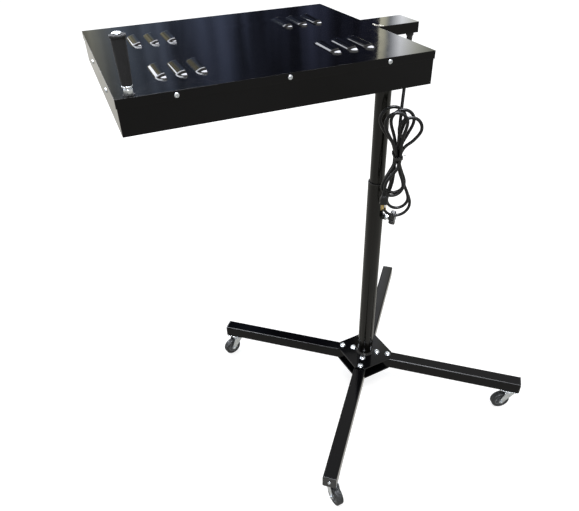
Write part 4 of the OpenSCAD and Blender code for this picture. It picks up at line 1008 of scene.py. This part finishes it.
air = {"seen": "#ffffff", "soft": "#f6f8fb", "softLevel": 0.8}
world = bpy.data.worlds.new("studio")
bpy.context.scene.world = world
world.use_nodes = True
tree = world.node_tree
tree.nodes.clear()
anySeen, isReflected = rayKinds(tree)
white = addNode(tree, "ShaderNodeBackground", {"Color": fromHex(air["seen"]), "Strength": 1.0})
soft = addNode(tree, "ShaderNodeBackground", {"Color": fromHex(air["soft"]), "Strength": air["softLevel"]})
both = addNode(tree, "ShaderNodeMixShader", {0: anySeen, 1: soft.outputs[0], 2: white.outputs[0]})
addNode(tree, "ShaderNodeOutputWorld", {"Surface": both.outputs[0]})


def addCard(name, corners, material):
    # a panel that only reflections see, as a photographer's flag, curtain or reflector
    mesh = bpy.data.meshes.new(name)
    mesh.from_pydata(corners, [], [(0, 1, 2, 3)])
    mesh.uv_layers.new(name="across").data.foreach_set("uv", (0, 0, 1, 0, 1, 1, 0, 1))
    mesh.materials.append(material)
    card = addObject(name, mesh)
    card.visible_camera = card.visible_diffuse = card.visible_shadow = card.visible_transmission = False


def stripedCloth(name, cloth):
    # stops: (place across the panel 0 to 1, hex colour, brightness); folds darken it in slow vertical bands
    material, tree, coords = startMaterial(name)
    panel = addNode(tree, "ShaderNodeTexCoord")
    across = addNode(tree, "ShaderNodeSeparateXYZ", {"Vector": panel.outputs["UV"]})
    ramp = addNode(tree, "ShaderNodeValToRGB", {"Fac": across.outputs["X"]})
    elements = ramp.color_ramp.elements
    for index, (share, colour, strength) in enumerate(cloth["stops"]):
        stop = elements[index] if index < 2 else elements.new(share)
        stop.position = share
        stop.color = (*[c * strength for c in fromHex(colour)[:3]], 1)
    hung = addNode(tree, "ShaderNodeMapping", {
        "Vector": coords, "Scale": [perMetre(size) for size in cloth["folds"]]})
    folds = addNode(tree, "ShaderNodeTexNoise", {
        "Vector": hung.outputs["Vector"], "Scale": 1.0, "Detail": 3.0, "Roughness": 0.55, "Distortion": 0.4})
    depth = addNode(tree, "ShaderNodeMapRange", {
        "Value": folds.outputs["Fac"], "From Min": 0.38, "From Max": 0.66,
        "To Min": cloth["power"] * (1 - cloth["foldDepth"]), "To Max": cloth["power"]})
    glow = addNode(tree, "ShaderNodeEmission", {
        "Color": ramp.outputs["Color"], "Strength": depth.outputs["Result"]})
    return endMaterial(material, tree, glow.outputs[0])


def plainGlow(name, colour, strength):
    # Stretched white cloth, lit from behind: even, with a faint cloudiness over 1.25 m
    material, tree, coords = startMaterial(name)
    cloud = addNode(tree, "ShaderNodeTexNoise", {"Vector": coords, "Scale": perMetre(1250), "Detail": 2.0})
    level = addNode(tree, "ShaderNodeMapRange", {
        "Value": cloud.outputs["Fac"], "To Min": strength * 0.8, "To Max": strength * 1.1})
    glow = addNode(tree, "ShaderNodeEmission", {
        "Color": fromHex(colour), "Strength": level.outputs["Result"]})
    return endMaterial(material, tree, glow.outputs[0])


flatRight = Vector((right.x, right.y, 0)).normalized()
flatForward = Vector((forward.x, forward.y, 0)).normalized()
eye = Vector((camera.location.x, camera.location.y, 0))

# what the black enamel mirrors: a dark curtain and a pale wall beyond the object, and white cloths behind
# it and overhead; places are in metres and folds in mm, and each list of stops begins with its two ends
backdrop = {
    "curtain": {"finish": "darkCurtainCloth", "sides": (-2.3, 0.757), "foldDepth": 0.85,
                "folds": (277.78, 277.78, 3333.3), "power": 3.0,
                "stops": [(0.0, "#c0b898", 1.0), (1.0, "#3a3d52", 0.3), (0.2, "#a8a48c", 0.75),
                          (0.33, "#6a7482", 0.6), (0.55, "#59627a", 0.55), (0.8, "#4a5068", 0.45)]},
    "paleWall": {"finish": "paleWallPaint", "sides": (0.757, 2.3), "foldDepth": 0.25,
                 "folds": (1250, 1250, 5000), "power": 3.0,
                 "stops": [(0.0, "#e9e6cf", 0.7), (1.0, "#b9b9a8", 0.3), (0.025, "#e9e6cf", 0.6),
                           (0.05, "#c9ced6", 0.3), (0.11, "#f4f6fb", 1.0), (0.2, "#e4e5da", 0.8),
                           (0.3, "#bcbfae", 0.5)]},
}
backdropPlace = {"away": 4.5, "heights": (1.2, 3.3)}
base = eye + flatForward * backdropPlace["away"]
low, high = backdropPlace["heights"]
for name, cloth in backdrop.items():
    left, far = cloth["sides"]
    corners = [base + flatRight * side + upAxis * height
               for side, height in ((left, low), (far, low), (far, high), (left, high))]
    addCard(name, corners, stripedCloth(cloth["finish"], cloth))


def uprightCard(x0, x1, y, z0, z1):
    return [(x0, y, z0), (x1, y, z0), (x1, y, z1), (x0, y, z1)]


def levelCard(x0, x1, y0, y1, z):
    return [(x0, y0, z), (x1, y0, z), (x1, y1, z), (x0, y1, z)]


brightPanel = plainGlow("brightReflectorCloth", "#f4f7ff", 8.0)
addCard("leftReflector", uprightCard(-1.9, -0.76, 1.35, 1.4, 2.4), brightPanel)
addCard("topReflector", uprightCard(-1.0, -0.1, 1.35, 1.86, 2.3), brightPanel)
addCard("roofReflector", levelCard(-2.7, 1.6, 0.1, 1.4, 4.6),
        plainGlow("roofReflectorCloth", "#f4f7ff", 55.0))
addCard("frontReflector", levelCard(-2.4, 0.6, -3.6, -1.5, 4.9),
        plainGlow("frontReflectorCloth", "#f7f9ff", 26.0))

lamps = {
    "windowLeft": {"place": eye + flatForward * 4.2 - flatRight * 4.0 + upAxis * 3.0,
                   "target": (-0.3, 0, 1.0), "size": 2.2, "power": 120, "colour": "#f4f8ff"},
    "overhead": {"place": (-0.6, -1.0, 4.2), "target": (-0.1, 0, 0.6), "size": 2.4, "power": 80,
                 "colour": "#fffaf2"},
}
for name, lamp in lamps.items():
    light = bpy.data.lights.new(name, "AREA")
    light.shape = "RECTANGLE"
    light.size = light.size_y = lamp["size"]
    light.energy = lamp["power"]
    light.color = fromHex(lamp["colour"])[:3]
    box = addObject(name, light)
    box.location = lamp["place"]
    box.rotation_mode = "QUATERNION"
    box.rotation_quaternion = (Vector(lamp["target"]) - Vector(lamp["place"])).to_track_quat("-Z", "Y")
    box.visible_glossy = False
print("studio lit")

bpy.context.scene.view_settings.view_transform = "Standard"
